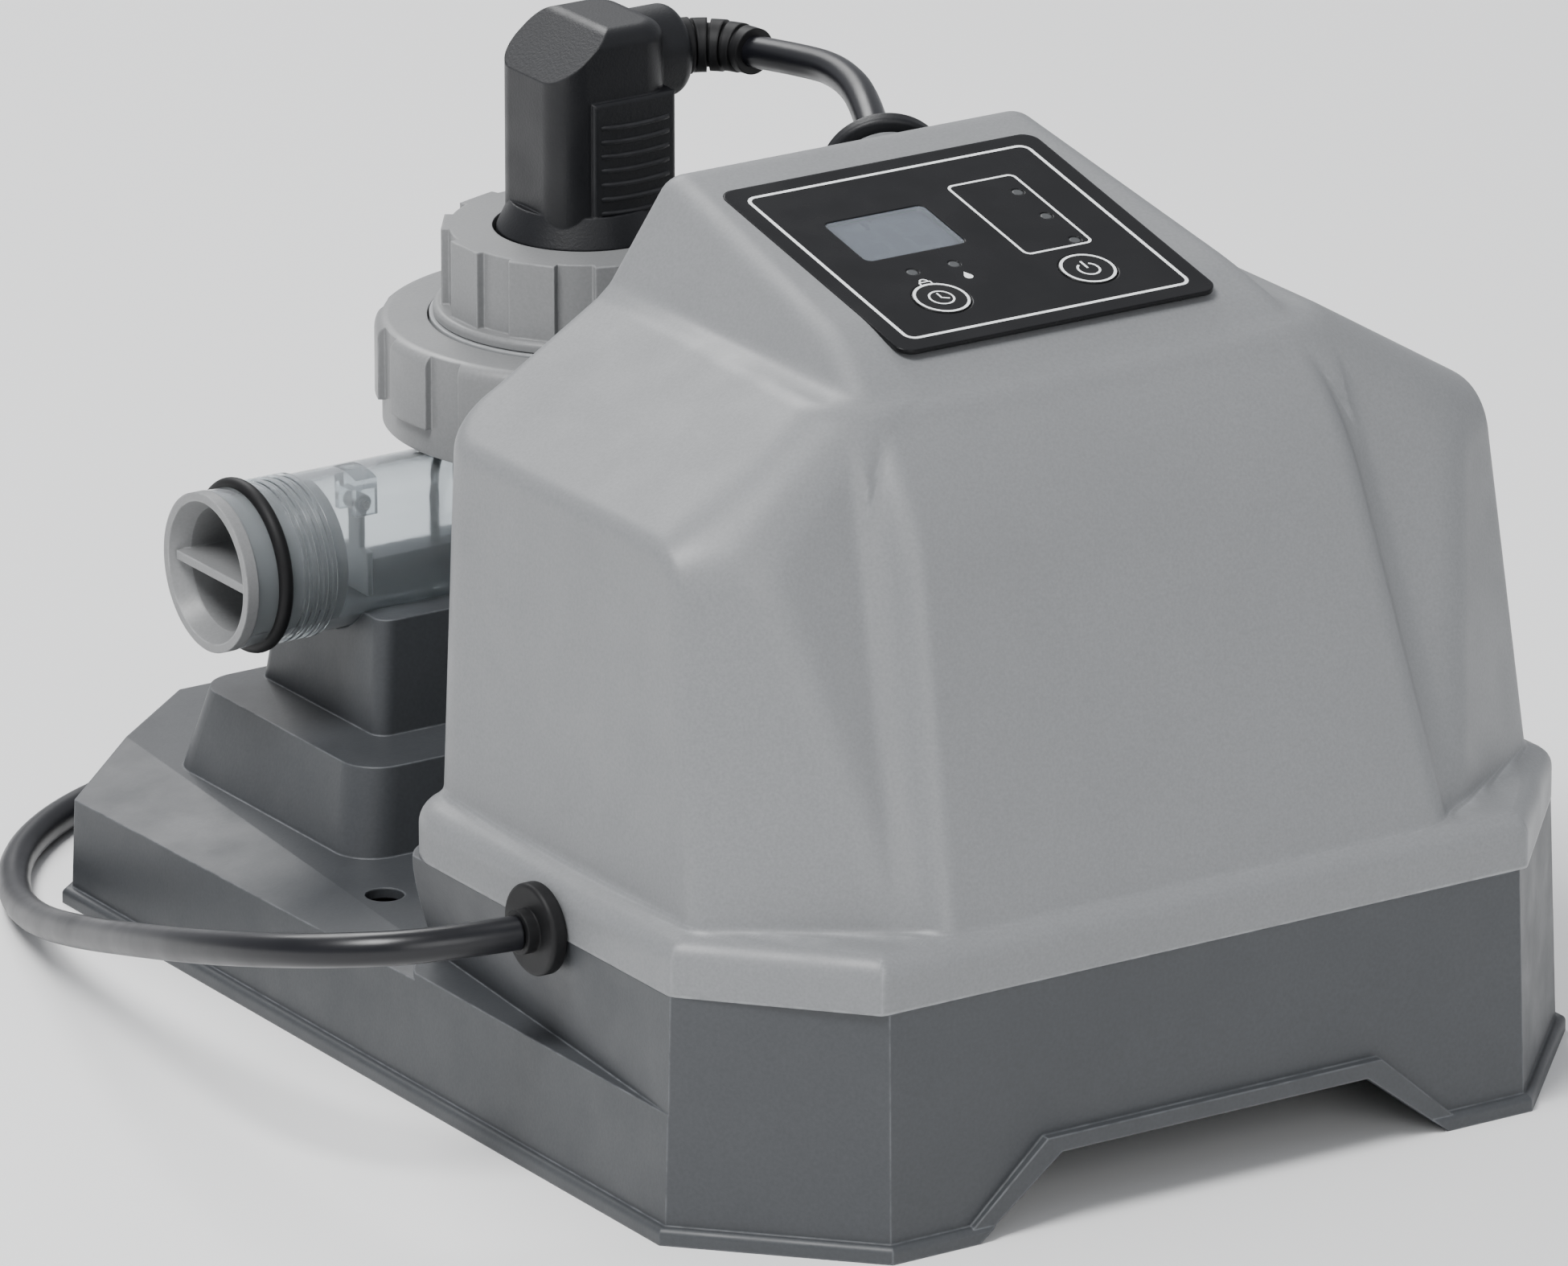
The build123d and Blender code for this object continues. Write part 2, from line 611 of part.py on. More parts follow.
def key(x):
    """A tactile key: a cap that stands a little proud and a wider foot under the label."""
    v = LABEL_FRONT + KEY_V
    cap = on_panel(x, v, KEY_THICK, Circle(KEY_RADIUS), KEY_THICK + KEY_PROUD)
    foot_depth = KEY_THICK + KEY_FOOT_THICK - 0.3
    foot = on_panel(x, v, foot_depth, Circle(KEY_RADIUS + KEY_FOOT_REACH), KEY_FOOT_THICK)
    return fillet(cap.faces().sort_by(Axis.Z)[-1].edges(), 0.3) + foot


def display_board():
    """The board under the panel, held on the hood's pegs."""
    sketch = RectangleRounded(DISPLAY_BOARD_WIDTH, DISPLAY_BOARD_LENGTH, 2)
    board = on_panel(0, LABEL_MID_V, BOARD_DEPTH, sketch, BOARD_THICK)
    for x, v in BOARD_PEGS:
        board = board - on_panel(x, LABEL_MID_V + v, BOARD_DEPTH + 1, Circle(BOARD_PEG_RADIUS + 0.1), 4)
    return board


def board_top(x, v, sketch, height):
    """A piece that stands on the display board."""
    return on_panel(x, LABEL_FRONT + v, BOARD_DEPTH - BOARD_THICK, sketch, height)


def digit_display():
    sketch = Rectangle(DIGITS_WIDTH, DIGITS_LENGTH)
    return board_top(WINDOW_X, WINDOW_V, sketch, BOARD_DEPTH - BOARD_THICK - WINDOW_THICK + 0.1)


def indicator_lamps():
    height = BOARD_DEPTH - BOARD_THICK + 0.2
    return [board_top(x, v, Circle(LAMP_RADIUS - 0.1), height) for x, v in LAMPS]


def key_switches():
    """Tactile switches: a square body and a plunger just under each key."""
    foot_depth = KEY_THICK + KEY_FOOT_THICK - 0.3
    room = BOARD_DEPTH - BOARD_THICK - foot_depth - KEY_TRAVEL - 0.1
    out = []
    for x in (TIMER_KEY_X, POWER_KEY_X):
        body = board_top(x, KEY_V, Rectangle(6, 6), room - 1.2)
        out.append(body + board_top(x, KEY_V, Circle(1.7), room))
    return out


# ---- electronics ----
def power_board():
    board = block(-86, 86, -128, -32, POWER_BOARD_Z, POWER_BOARD_Z + POWER_BOARD_THICK)
    for x, y in HOOD_SCREWS:
        board = board - disc(x, y, POWER_BOARD_Z - 1, 6, 4)
    for x, y in BOARD_SCREWS:
        board = board - disc(x, y, POWER_BOARD_Z - 1, 1.7, 4)
    return board


def board_posts():
    """Pillars that carry the power board, moulded on a bridge across the tray's opening."""
    half = OPENING_HALF_WIDTH + 6
    bridge = block(-half, half, -113, -53, SEAM_Z, SEAM_Z + BRIDGE_THICK)
    rise = POWER_BOARD_Z - SEAM_Z - BRIDGE_THICK + 0.1
    posts = [disc(x, y, POWER_BOARD_Z - rise, 4, rise) for x, y in BOARD_SCREWS]
    carrier = bridge + posts
    for x, y in BOARD_SCREWS:
        carrier = carrier - disc(x, y, POWER_BOARD_Z - 14, BOARD_SCREW_RADIUS, 15)
    return carrier


def board_screws():
    out = []
    for x, y in BOARD_SCREWS:
        head = disc(x, y, POWER_BOARD_Z + POWER_BOARD_THICK, 2.9, 2.0)
        out.append(head + disc(x, y, POWER_BOARD_Z - 10, BOARD_SCREW_RADIUS, 11.7))
    return out


def hood_screws():
    """Screws that come up through the tray's posts into the hood."""
    out = []
    for x, y in HOOD_SCREWS:
        head = disc(x, y, HEAD_POCKET - 2.6, 3.6, 2.6)
        reach = SEAM_Z + HOOD_SCREW_BITE - HEAD_POCKET + 0.1
        out.append(head + disc(x, y, HEAD_POCKET - 0.1, HOOD_SCREW_RADIUS, reach))
    return out


def on_power_board(x0, x1, y0, y1, height):
    top = POWER_BOARD_Z + POWER_BOARD_THICK
    return block(x0, x1, y0, y1, top, top + height)


def transformer():
    core = on_power_board(-62, -18, -104, -66, 34)
    winding = Pos(-40, -85, POWER_BOARD_Z + POWER_BOARD_THICK + 17) * Rot(90, 0, 0) * Cylinder(15, 50)
    return core + (winding & on_power_board(-70, 0, -112, -58, 40))


def heat_sink():
    sink = on_power_board(18, 66, -66, -62, 44)
    for i in range(7):
        sink = sink + on_power_board(19 + i * 7.5, 21 + i * 7.5, -62.1, -48, 44)
    return sink


def capacitors():
    top = POWER_BOARD_Z + POWER_BOARD_THICK
    return [disc(x, -94, top, 8, 32) for x in (4, 24, 44)]


def terminal_block():
    body = on_power_board(-12, 12, -48, -36, 14)
    for i in range(3):
        body = body - Pos(-8 + i * 8, -42, POWER_BOARD_Z + 14) * Cylinder(2, 6)
    return body


# ---- electrolytic cell ----
NECK_RING_Z = TUBE_Z + TUBE_RADIUS + NECK_RING_GAP


def cell_housing():
    """The clear cell body: a cross tube with threaded ends and a chamber that opens upwards."""
    tube = rod_x(0, CELL_Y, TUBE_Z, TUBE_RADIUS, 2 * TUBE_HALF_LENGTH)
    chamber = disc(0, CELL_Y, CHAMBER_BOTTOM_Z, CHAMBER_RADIUS, CHAMBER_TOP_Z - CHAMBER_BOTTOM_Z)
    flare = Pos(0, CELL_Y, NECK_RING_Z + 2.8) * Cone(CHAMBER_RADIUS, HEAD_RADIUS, 3)
    collar_z = NECK_RING_Z + 4.2
    body = tube + chamber + flare + disc(0, CELL_Y, collar_z, HEAD_RADIUS, CHAMBER_TOP_Z - collar_z)
    for side in (-1, 1):
        for i in range(THREAD_TURNS):
            x = side * (THREAD_X - i * THREAD_PITCH)
            ridge = rod_x(x, CELL_Y, TUBE_Z, TUBE_RADIUS + THREAD_HEIGHT, 1.2)
            body = body + ridge
        body = body - seal_groove(side)
    inner_floor = max(CHAMBER_BOTTOM_Z, TUBE_Z - TUBE_RADIUS + TUBE_WALL)
    depth = CHAMBER_TOP_Z - inner_floor - CHAMBER_WALL
    body = body - disc(0, CELL_Y, inner_floor + CHAMBER_WALL, CHAMBER_RADIUS - CHAMBER_WALL, depth + 1)
    return body - rod_x(0, CELL_Y, TUBE_Z, TUBE_RADIUS - TUBE_WALL, 2 * TUBE_HALF_LENGTH + 2)


def seal_ring(x, ring, section):
    circle = Plane(origin=(x, CELL_Y, TUBE_Z + ring), x_dir=(1, 0, 0), z_dir=(0, 1, 0)).location * Circle(section)
    return revolve(circle, Axis((x, CELL_Y, TUBE_Z), (1, 0, 0)), 360)


def seal_groove(side):
    return seal_ring(side * SEAL_RING_X, TUBE_RADIUS + 0.3, SEAL_RING_RADIUS + 0.02)


def port_seals():
    return [seal_ring(side * SEAL_RING_X, TUBE_RADIUS + 0.3, SEAL_RING_RADIUS) for side in (-1, 1)]


def port_insert(side):
    """A light sleeve pushed into the tube's end, with a rim outside and a web across its bore."""
    bore = TUBE_RADIUS - TUBE_WALL
    end = side * TUBE_HALF_LENGTH
    rim = rod_x(end + side * PORT_RING_THICK / 2, CELL_Y, TUBE_Z, TUBE_RADIUS + 0.2, PORT_RING_THICK)
    sleeve = rod_x(end - side * PORT_SLEEVE / 2, CELL_Y, TUBE_Z, bore - 0.05, PORT_SLEEVE + 0.2)
    body = rim + sleeve
    reach = PORT_SLEEVE + PORT_RING_THICK
    middle = end + side * (PORT_RING_THICK - reach / 2)
    hollow = rod_x(middle, CELL_Y, TUBE_Z, bore - 2.0, reach + 2)
    face = end + side * PORT_RING_THICK
    mouth = Pos(face - side * PORT_MOUTH / 2, CELL_Y, TUBE_Z) * Rot(0, side * 90, 0) * Cone(
        bore - 2.0, TUBE_RADIUS - 1.9, PORT_MOUTH)
    hollow = hollow + mouth
    web = Pos(middle - side * 0.5, CELL_Y, TUBE_Z) * Box(reach - 1.6, 2 * bore - 3, PORT_WEB)
    return body - hollow + web


def neck_seal():
    """The black ring round the chamber's neck, between the tube and the nut."""
    centre = Plane(origin=(CHAMBER_RADIUS + 1.2, CELL_Y, NECK_RING_Z), x_dir=(1, 0, 0), z_dir=(0, 1, 0))
    return revolve(centre.location * Circle(1.2), Axis((0, CELL_Y, 0), (0, 0, 1)), 360)


def ribs(count, radius, reach, z0, z1, width):
    """Upright grip ribs round a nut."""
    out = []
    for i in range(count):
        angle = 360 / count * i
        rib = Pos(radius - 1.5 + reach / 2, 0, (z0 + z1) / 2) * Box(3 + reach, width, z1 - z0)
        out.append(Pos(0, CELL_Y, 0) * Rot(0, 0, angle) * rib)
    return out


def soft_disc(z0, z1, radius, rounding):
    """An upright cylinder round the cell's axis, with its top edge rounded."""
    body = disc(0, CELL_Y, z0, radius, z1 - z0)
    return fillet(body.faces().sort_by(Axis.Z)[-1].edges(), rounding)


def union_nut():
    """The large nut that clamps the cell head onto the chamber."""
    body = disc(0, CELL_Y, NUT_BOTTOM_Z, NUT_RADIUS, NUT_TOP_Z - NUT_BOTTOM_Z)
    body = body + ribs(RIB_COUNT, NUT_RADIUS, RIB_REACH, NUT_BOTTOM_Z + RIB_BOTTOM, NUT_TOP_Z, RIB_WIDTH)
    body = body & soft_disc(NUT_BOTTOM_Z, NUT_TOP_Z, NUT_RADIUS + RIB_REACH, 3.4)
    body = body - disc(0, CELL_Y, NUT_BOTTOM_Z - 1, HEAD_RADIUS + RUN_CLEARANCE, NUT_TOP_Z - NUT_BOTTOM_Z - NUT_LID + 1)
    return body - disc(0, CELL_Y, NUT_BOTTOM_Z, NUT_HOLE_RADIUS, 40)


def cell_head():
    """The light head that closes the chamber and carries the electrode."""
    flange_top = NUT_TOP_Z - NUT_LID - RUN_CLEARANCE
    head = disc(0, CELL_Y, CHAMBER_TOP_Z, HEAD_RADIUS, flange_top - CHAMBER_TOP_Z)
    head = head + disc(0, CELL_Y, flange_top - 0.1, HEAD_BOSS_RADIUS, HEAD_TOP_Z - flange_top + 0.1)
    head = head + disc(0, CELL_Y, HEAD_TOP_Z - 0.1, SPIGOT_RADIUS, SPIGOT_TOP_Z - HEAD_TOP_Z + 0.1)
    return head - disc(0, CELL_Y, SOCKET_FLOOR_Z, PLUG_BASE_RADIUS + 0.3, 30)


def locking_collar():
    """The small nut that holds the electrode plug down."""
    foot_z = HEAD_TOP_Z + RUN_CLEARANCE
    body = disc(0, CELL_Y, foot_z, COLLAR_FOOT_RADIUS, COLLAR_FOOT)
    body = fillet(body.faces().sort_by(Axis.Z)[-1].edges(), 1.2)
    body = body + disc(0, CELL_Y, foot_z, COLLAR_RADIUS, COLLAR_TOP_Z - foot_z)
    body = body + ribs(COLLAR_RIB_COUNT, COLLAR_RADIUS, COLLAR_RIB_REACH, foot_z + 1, COLLAR_TOP_Z, COLLAR_RIB_WIDTH)
    body = body & soft_disc(foot_z, COLLAR_TOP_Z, COLLAR_FOOT_RADIUS, 0.3) & soft_disc(
        foot_z - 9, COLLAR_TOP_Z, COLLAR_FOOT_RADIUS + 6, 9.0)
    body = body - disc(0, CELL_Y, foot_z - 1, SPIGOT_RADIUS + RUN_CLEARANCE, COLLAR_TOP_Z - COLLAR_LID - foot_z + 1)
    return body - disc(0, CELL_Y, foot_z, COLLAR_HOLE_RADIUS, 40)


def electrode_plates():
    """Parallel plates that hang in the flow under the head."""
    first = -(PLATE_COUNT - 1) / 2 * PLATE_PITCH
    out = []
    for i in range(PLATE_COUNT):
        y = CELL_Y + first + i * PLATE_PITCH
        out.append(block(-PLATE_LENGTH / 2, PLATE_LENGTH / 2, y - PLATE_THICK / 2, y + PLATE_THICK / 2,
                         TUBE_Z - PLATE_HEIGHT / 2, TUBE_Z + PLATE_HEIGHT / 2))
    return out


def plate_holder():
    """The comb that hangs from the head and grips the plates' upper edges."""
    comb = block(-30, 30, CELL_Y - 14, CELL_Y + 14, TUBE_Z + 6, TUBE_Z + 12)
    for plate in electrode_plates():
        comb = comb - plate
    stem = disc(0, CELL_Y, TUBE_Z + 11.9, 14, CHAMBER_TOP_Z - TUBE_Z - 11.9)
    return comb + stem


def electrode_pins():
    """Contact pins that stand in the head's socket under the plug."""
    return [disc(x, CELL_Y, SOCKET_FLOOR_Z, PIN_RADIUS, PIN_HEIGHT) for x in PIN_X]


def flow_sensor():
    """The clear bracket inside the tube that carries the flow paddle's pin."""
    top = TUBE_Z + TUBE_RADIUS
    stem = block(PADDLE_X - 3, PADDLE_X + 3, CELL_Y - 5, CELL_Y + 5, TUBE_Z + 8, top)
    slot = block(PADDLE_X - 4, PADDLE_X + 4, CELL_Y - 3, CELL_Y + 3, TUBE_Z + 7, TUBE_Z + 14)
    bore = Pos(PADDLE_X, CELL_Y, PADDLE_PIN_Z) * Rot(90, 0, 0) * Cylinder(PADDLE_PIN_RADIUS, 14)
    return (stem & rod_x(PADDLE_X, CELL_Y, TUBE_Z, TUBE_RADIUS - TUBE_WALL, 6)) - slot - bore


def paddle_pin():
    return Pos(PADDLE_X, CELL_Y, PADDLE_PIN_Z) * Rot(90, 0, 0) * Cylinder(PADDLE_PIN_RADIUS, 9.6)


def flow_paddle():
    """A flap that the water swings about its pin."""
    hub = Pos(PADDLE_X, CELL_Y, PADDLE_PIN_Z) * Rot(90, 0, 0) * Cylinder(2.2, 5.2)
    arm = block(PADDLE_X - 0.8, PADDLE_X + 0.8, CELL_Y - 2.6, CELL_Y + 2.6, TUBE_Z - 6, TUBE_Z + 9.5)
    flap = block(PADDLE_X - 0.8, PADDLE_X + 0.8, CELL_Y - 6, CELL_Y + 6, TUBE_Z - 12, TUBE_Z - 1)
    bore = Pos(PADDLE_X, CELL_Y, PADDLE_PIN_Z) * Rot(90, 0, 0) * Cylinder(PADDLE_PIN_RADIUS + 0.06, 14)
    return hub + arm + flap - bore


# ---- electrode plug and cable ----
def electrode_plug():
    """The moulded angled plug: a round foot in the collar, a squarer body, and a nose towards +X."""
    foot = disc(0, CELL_Y, SOCKET_FLOOR_Z, PLUG_BASE_RADIUS, COLLAR_TOP_Z - SOCKET_FLOOR_Z)
    lip_top = COLLAR_TOP_Z - COLLAR_LID - RUN_CLEARANCE
    lip = disc(0, CELL_Y, SPIGOT_TOP_Z, PLUG_LIP_RADIUS, lip_top - SPIGOT_TOP_Z)
    waist = Pos(0, CELL_Y, (COLLAR_TOP_Z + PLUG_BASE_TOP_Z) / 2) * Cone(
        PLUG_BASE_RADIUS, PLUG_BASE_RADIUS - 3.2, PLUG_BASE_TOP_Z - COLLAR_TOP_Z)
    tower = extrude(Pos(0, CELL_Y, COLLAR_TOP_Z) * RectangleRounded(2 * PLUG_HALF_X, 2 * PLUG_HALF_Y, PLUG_CORNER),
                    PLUG_TOP_Z - COLLAR_TOP_Z)
    tower = keep_below(tower, (-PLUG_HALF_X, CELL_Y, PLUG_TOP_Z - 12), (-0.62, 0, 0.78))
    tower = fillet(tower.edges().group_by(Axis.Z)[-1], PLUG_TOP_ROUND)
    pad = block(-7.5, 16, CELL_Y - PLUG_HALF_Y - PLUG_PAD, CELL_Y, PLUG_BASE_TOP_Z - 3, PLUG_TOP_Z - 17)
    pad = fillet(pad.faces().sort_by(Axis.Y)[0].edges(), 1.0)
    nose = rod_x((RELIEF_X + 8) / 2, CELL_Y, RELIEF_Z, 11.4, RELIEF_X - 8)
    nose = fillet(nose.faces().sort_by(Axis.X)[-1].edges(), 3.0)
    plug = foot + lip + waist + tower + nose + pad
    for x in PIN_X:
        plug = plug - disc(x, CELL_Y, SOCKET_FLOOR_Z - 1, PIN_RADIUS + 0.1, PIN_HEIGHT + 1.1)
    return plug


def relief_ring(start, end, radius):
    """A stretch of the curved strain relief, between two angles of its bend."""
    centre = Vector(RELIEF_X, CELL_Y - RELIEF_BEND, RELIEF_Z)
    place = Pos(*centre) * Rot(0, 0, -start)
    section = Plane(origin=(0, RELIEF_BEND, 0), x_dir=(0, 1, 0), z_dir=(-1, 0, 0)).location * Circle(radius)
    return place * revolve(section, Axis((0, 0, 0), (0, 0, -1)), end - start)


def plug_relief():
    """The slotted, curved strain relief on the plug's nose."""
    relief = relief_ring(0, RELIEF_TURN, RELIEF_CORE)
    pitch = RELIEF_TURN / RELIEF_RINGS
    for i in range(RELIEF_RINGS):
        start = 0 if i == 0 else i * pitch + 3.6
        relief = relief + relief_ring(start, (i + 1) * pitch, RELIEF_RADIUS - 0.3 * i)
    return relief


def rounded_route(points):
    """A route of straight runs joined by arcs as large as the runs allow."""
    spots = [Vector(*p) for p in points]
    radii = []
    for before, here, after in zip(spots, spots[1:], spots[2:]):
        turn = (here - before).get_angle(after - here)
        run = min((here - before).length, (after - here).length)
        radii.append(0.45 * run / math.tan(math.radians(turn / 2)))
    return FilletPolyline(*spots, radius=radii), radii


def tube_along(points, diameter, name):
    path, radii = rounded_route(points)
    start = Plane(origin=path @ 0, z_dir=path % 0)
    tube = sweep(start.location * Circle(diameter / 2), path=path)
    expected = math.pi * diameter ** 2 / 4 * path.length
    print(name, "length", round(path.length, 1), "radii", [round(r) for r in radii])
    print(name, "volume over section times length", round(tube.volume / expected, 4))
    return tube


def cable_gland():
    """The disc on the hood's rear boss that the electrode cable enters."""
    body = gland_rod(-GLAND_THICK, 0, GLAND_RADIUS)
    body = fillet(body.edges(), 1.2)
    nose = gland_place(GLAND_NOSE / 2 - 0.05) * Cone(8.2, CABLE_DIAMETER / 2 + 1.2, GLAND_NOSE + 0.1)
    return body + nose + gland_rod(-GLAND_THICK - 14, -GLAND_THICK, CABLE_DIAMETER / 2 + 2.0)


def cord_grommet():
    """The power cord's grommet: a disc outside the wall and a neck through it."""
    wall = TRAY_HALF_WIDTH - RIM_REACH - SEAM_Z * math.tan(math.radians(TRAY_DRAFT))
    disc_x = -wall - 0.4 - GROMMET_THICK / 2
    body = rod_x(disc_x, GROMMET_Y, GROMMET_Z, GROMMET_RADIUS, GROMMET_THICK)
    body = fillet(body.edges(), 1.0)
    body = body + rod_x(-wall + 5, GROMMET_Y, GROMMET_Z, GROMMET_NECK_RADIUS, 11.6)
    nose_end = CORD_ROUTE[0][0]
    nose_start = disc_x - GROMMET_THICK / 2
    nose = rod_x((nose_end + nose_start) / 2, GROMMET_Y, GROMMET_Z, CORD_DIAMETER / 2 + 1.2, nose_start - nose_end)
    return body + nose


# ---- cord's stored length ----
COIL_HALF = COIL_LAYERS * CORD_DIAMETER / 2


def cord_coil():
    """The outer shape of the cord's neat coil, lying flat behind the tray."""
    outer = disc(COIL_X, COIL_Y, 0.1, COIL_MID_RADIUS + COIL_HALF, 2 * COIL_HALF)
    return outer - disc(COIL_X, COIL_Y, -1, COIL_MID_RADIUS - COIL_HALF, 2 * COIL_HALF + 3)


def cord_tie():
    """A strap round one side of the coil."""
    x = COIL_X + COIL_MID_RADIUS
    reach = COIL_HALF + TIE_THICK + 0.2
    half = TIE_WIDTH / 2
    outer = block(x - reach, x + reach, COIL_Y - half, COIL_Y + half, 0.0, 2 * COIL_HALF + TIE_THICK + 0.1)
    return outer - cord_coil()


def mains_plug():
    """A generic round mains plug that lies on the coil, its tail towards -X."""
    axis_z = 2 * COIL_HALF + 0.1 + PLUG_BODY_RADIUS
    y = COIL_Y - COIL_MID_RADIUS
    body = rod_x(PLUG_BODY_X, y, axis_z, PLUG_BODY_RADIUS, PLUG_BODY_LENGTH)
    body = fillet(body.edges(), 3.0)
    tail_x = PLUG_BODY_X - (PLUG_BODY_LENGTH + PLUG_TAIL_LENGTH) / 2
    tail = Pos(tail_x, y, axis_z) * Rot(0, 90, 0) * Cone(6, 9, PLUG_TAIL_LENGTH)
    return body + tail


def plug_pins():
    axis_z = 2 * COIL_HALF + 0.1 + PLUG_BODY_RADIUS
    x = PLUG_BODY_X + (PLUG_BODY_LENGTH + MAINS_PIN_LENGTH) / 2
    y = COIL_Y - COIL_MID_RADIUS
    return [rod_x(x, y + side * MAINS_PIN_SPREAD, axis_z, 2.4, MAINS_PIN_LENGTH) for side in (-1, 1)]


def pieces():
    """Every node by name."""
    return {
        "base_tray": base_tray(),
        "hood": hood(),
        "hood_screws": hood_screws(),
        "control_label": control_label(),
        "display_window": display_window(),
        "timer_key": key(TIMER_KEY_X),
        "power_key": key(POWER_KEY_X),
        "display_board": display_board(),
        "digit_display": digit_display(),
        "indicator_lamps": indicator_lamps(),
        "key_switches": key_switches(),
        "board_carrier": board_posts(),
        "power_board": power_board(),
        "board_screws": board_screws(),
        "transformer": transformer(),
        "heat_sink": heat_sink(),
        "capacitors": capacitors(),
        "terminal_block": terminal_block(),
        "cell_housing": cell_housing(),
        "left_port_insert": port_insert(-1),
        "right_port_insert": port_insert(1),
        "port_seals": port_seals(),
        "neck_seal": neck_seal(),
        "union_nut": union_nut(),
        "cell_head": cell_head(),
        "locking_collar": locking_collar(),
        "electrode_plates": electrode_plates(),
        "plate_holder": plate_holder(),
        "electrode_pins": electrode_pins(),
        "flow_sensor": flow_sensor(),
        "flow_paddle": flow_paddle(),
        "paddle_pin": paddle_pin(),
        "electrode_plug": electrode_plug(),
        "plug_relief": plug_relief(),
        "electrode_cable": tube_along(CABLE_ROUTE, CABLE_DIAMETER, "electrode_cable"),
        "cable_gland": cable_gland(),
        "cord_grommet": cord_grommet(),
        "power_cord": tube_along(CORD_ROUTE, CORD_DIAMETER, "power_cord"),
        "cord_coil": cord_coil(),
        "cord_tie": cord_tie(),
        "mains_plug": mains_plug(),
        "plug_pins": plug_pins(),
    }


os.makedirs("parts", exist_ok=True)
for name, shape in pieces().items():
    solid = Compound(children=shape) if isinstance(shape, list) else shape
    export_step(solid, f"parts/{name}.step")
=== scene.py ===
import math

import bpy
import numpy as np
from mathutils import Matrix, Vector


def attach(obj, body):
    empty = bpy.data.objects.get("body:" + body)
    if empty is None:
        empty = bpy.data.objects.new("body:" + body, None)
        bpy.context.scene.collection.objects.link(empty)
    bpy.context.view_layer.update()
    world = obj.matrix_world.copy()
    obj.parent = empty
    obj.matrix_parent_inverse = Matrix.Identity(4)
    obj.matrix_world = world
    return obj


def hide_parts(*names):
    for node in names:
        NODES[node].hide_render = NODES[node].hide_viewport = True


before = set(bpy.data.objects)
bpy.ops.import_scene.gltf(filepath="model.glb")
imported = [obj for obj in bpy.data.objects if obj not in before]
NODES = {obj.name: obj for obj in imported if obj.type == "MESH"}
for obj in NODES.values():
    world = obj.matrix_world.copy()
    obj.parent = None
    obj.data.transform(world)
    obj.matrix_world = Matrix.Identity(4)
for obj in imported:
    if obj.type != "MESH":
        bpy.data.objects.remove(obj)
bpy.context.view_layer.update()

# The looks of a salt chlorine generator, in metres. MM turns millimetres into metres.
MM = 0.001


def clear_defaults():
    for name in ("Cube", "Light", "Camera"):
        if name in bpy.data.objects:
            bpy.data.objects.remove(bpy.data.objects[name])


# ---- camera ----
AIM = Vector((-0.0278, -0.037, 0.100))
CAMERA_TURN = math.radians(33.0)
CAMERA_RISE = math.radians(19.2)
CAMERA_DISTANCE = 3.42
LENS = 332.3


def make_camera():
    data = bpy.data.cameras.new("camera")
    data.lens = LENS
    data.sensor_width = 36
    data.clip_end = 100
    cam = bpy.data.objects.new("camera", data)
    bpy.context.scene.collection.objects.link(cam)
    level = math.cos(CAMERA_RISE)
    back = Vector((-math.sin(CAMERA_TURN) * level, -math.cos(CAMERA_TURN) * level, math.sin(CAMERA_RISE)))
    cam.location = AIM + back * CAMERA_DISTANCE
    cam.rotation_mode = "QUATERNION"
    cam.rotation_quaternion = (-back).to_track_quat("-Z", "Y")
    bpy.context.scene.camera = cam


# ---- material helpers ----
EDGE_SOFTNESS = 0.0007


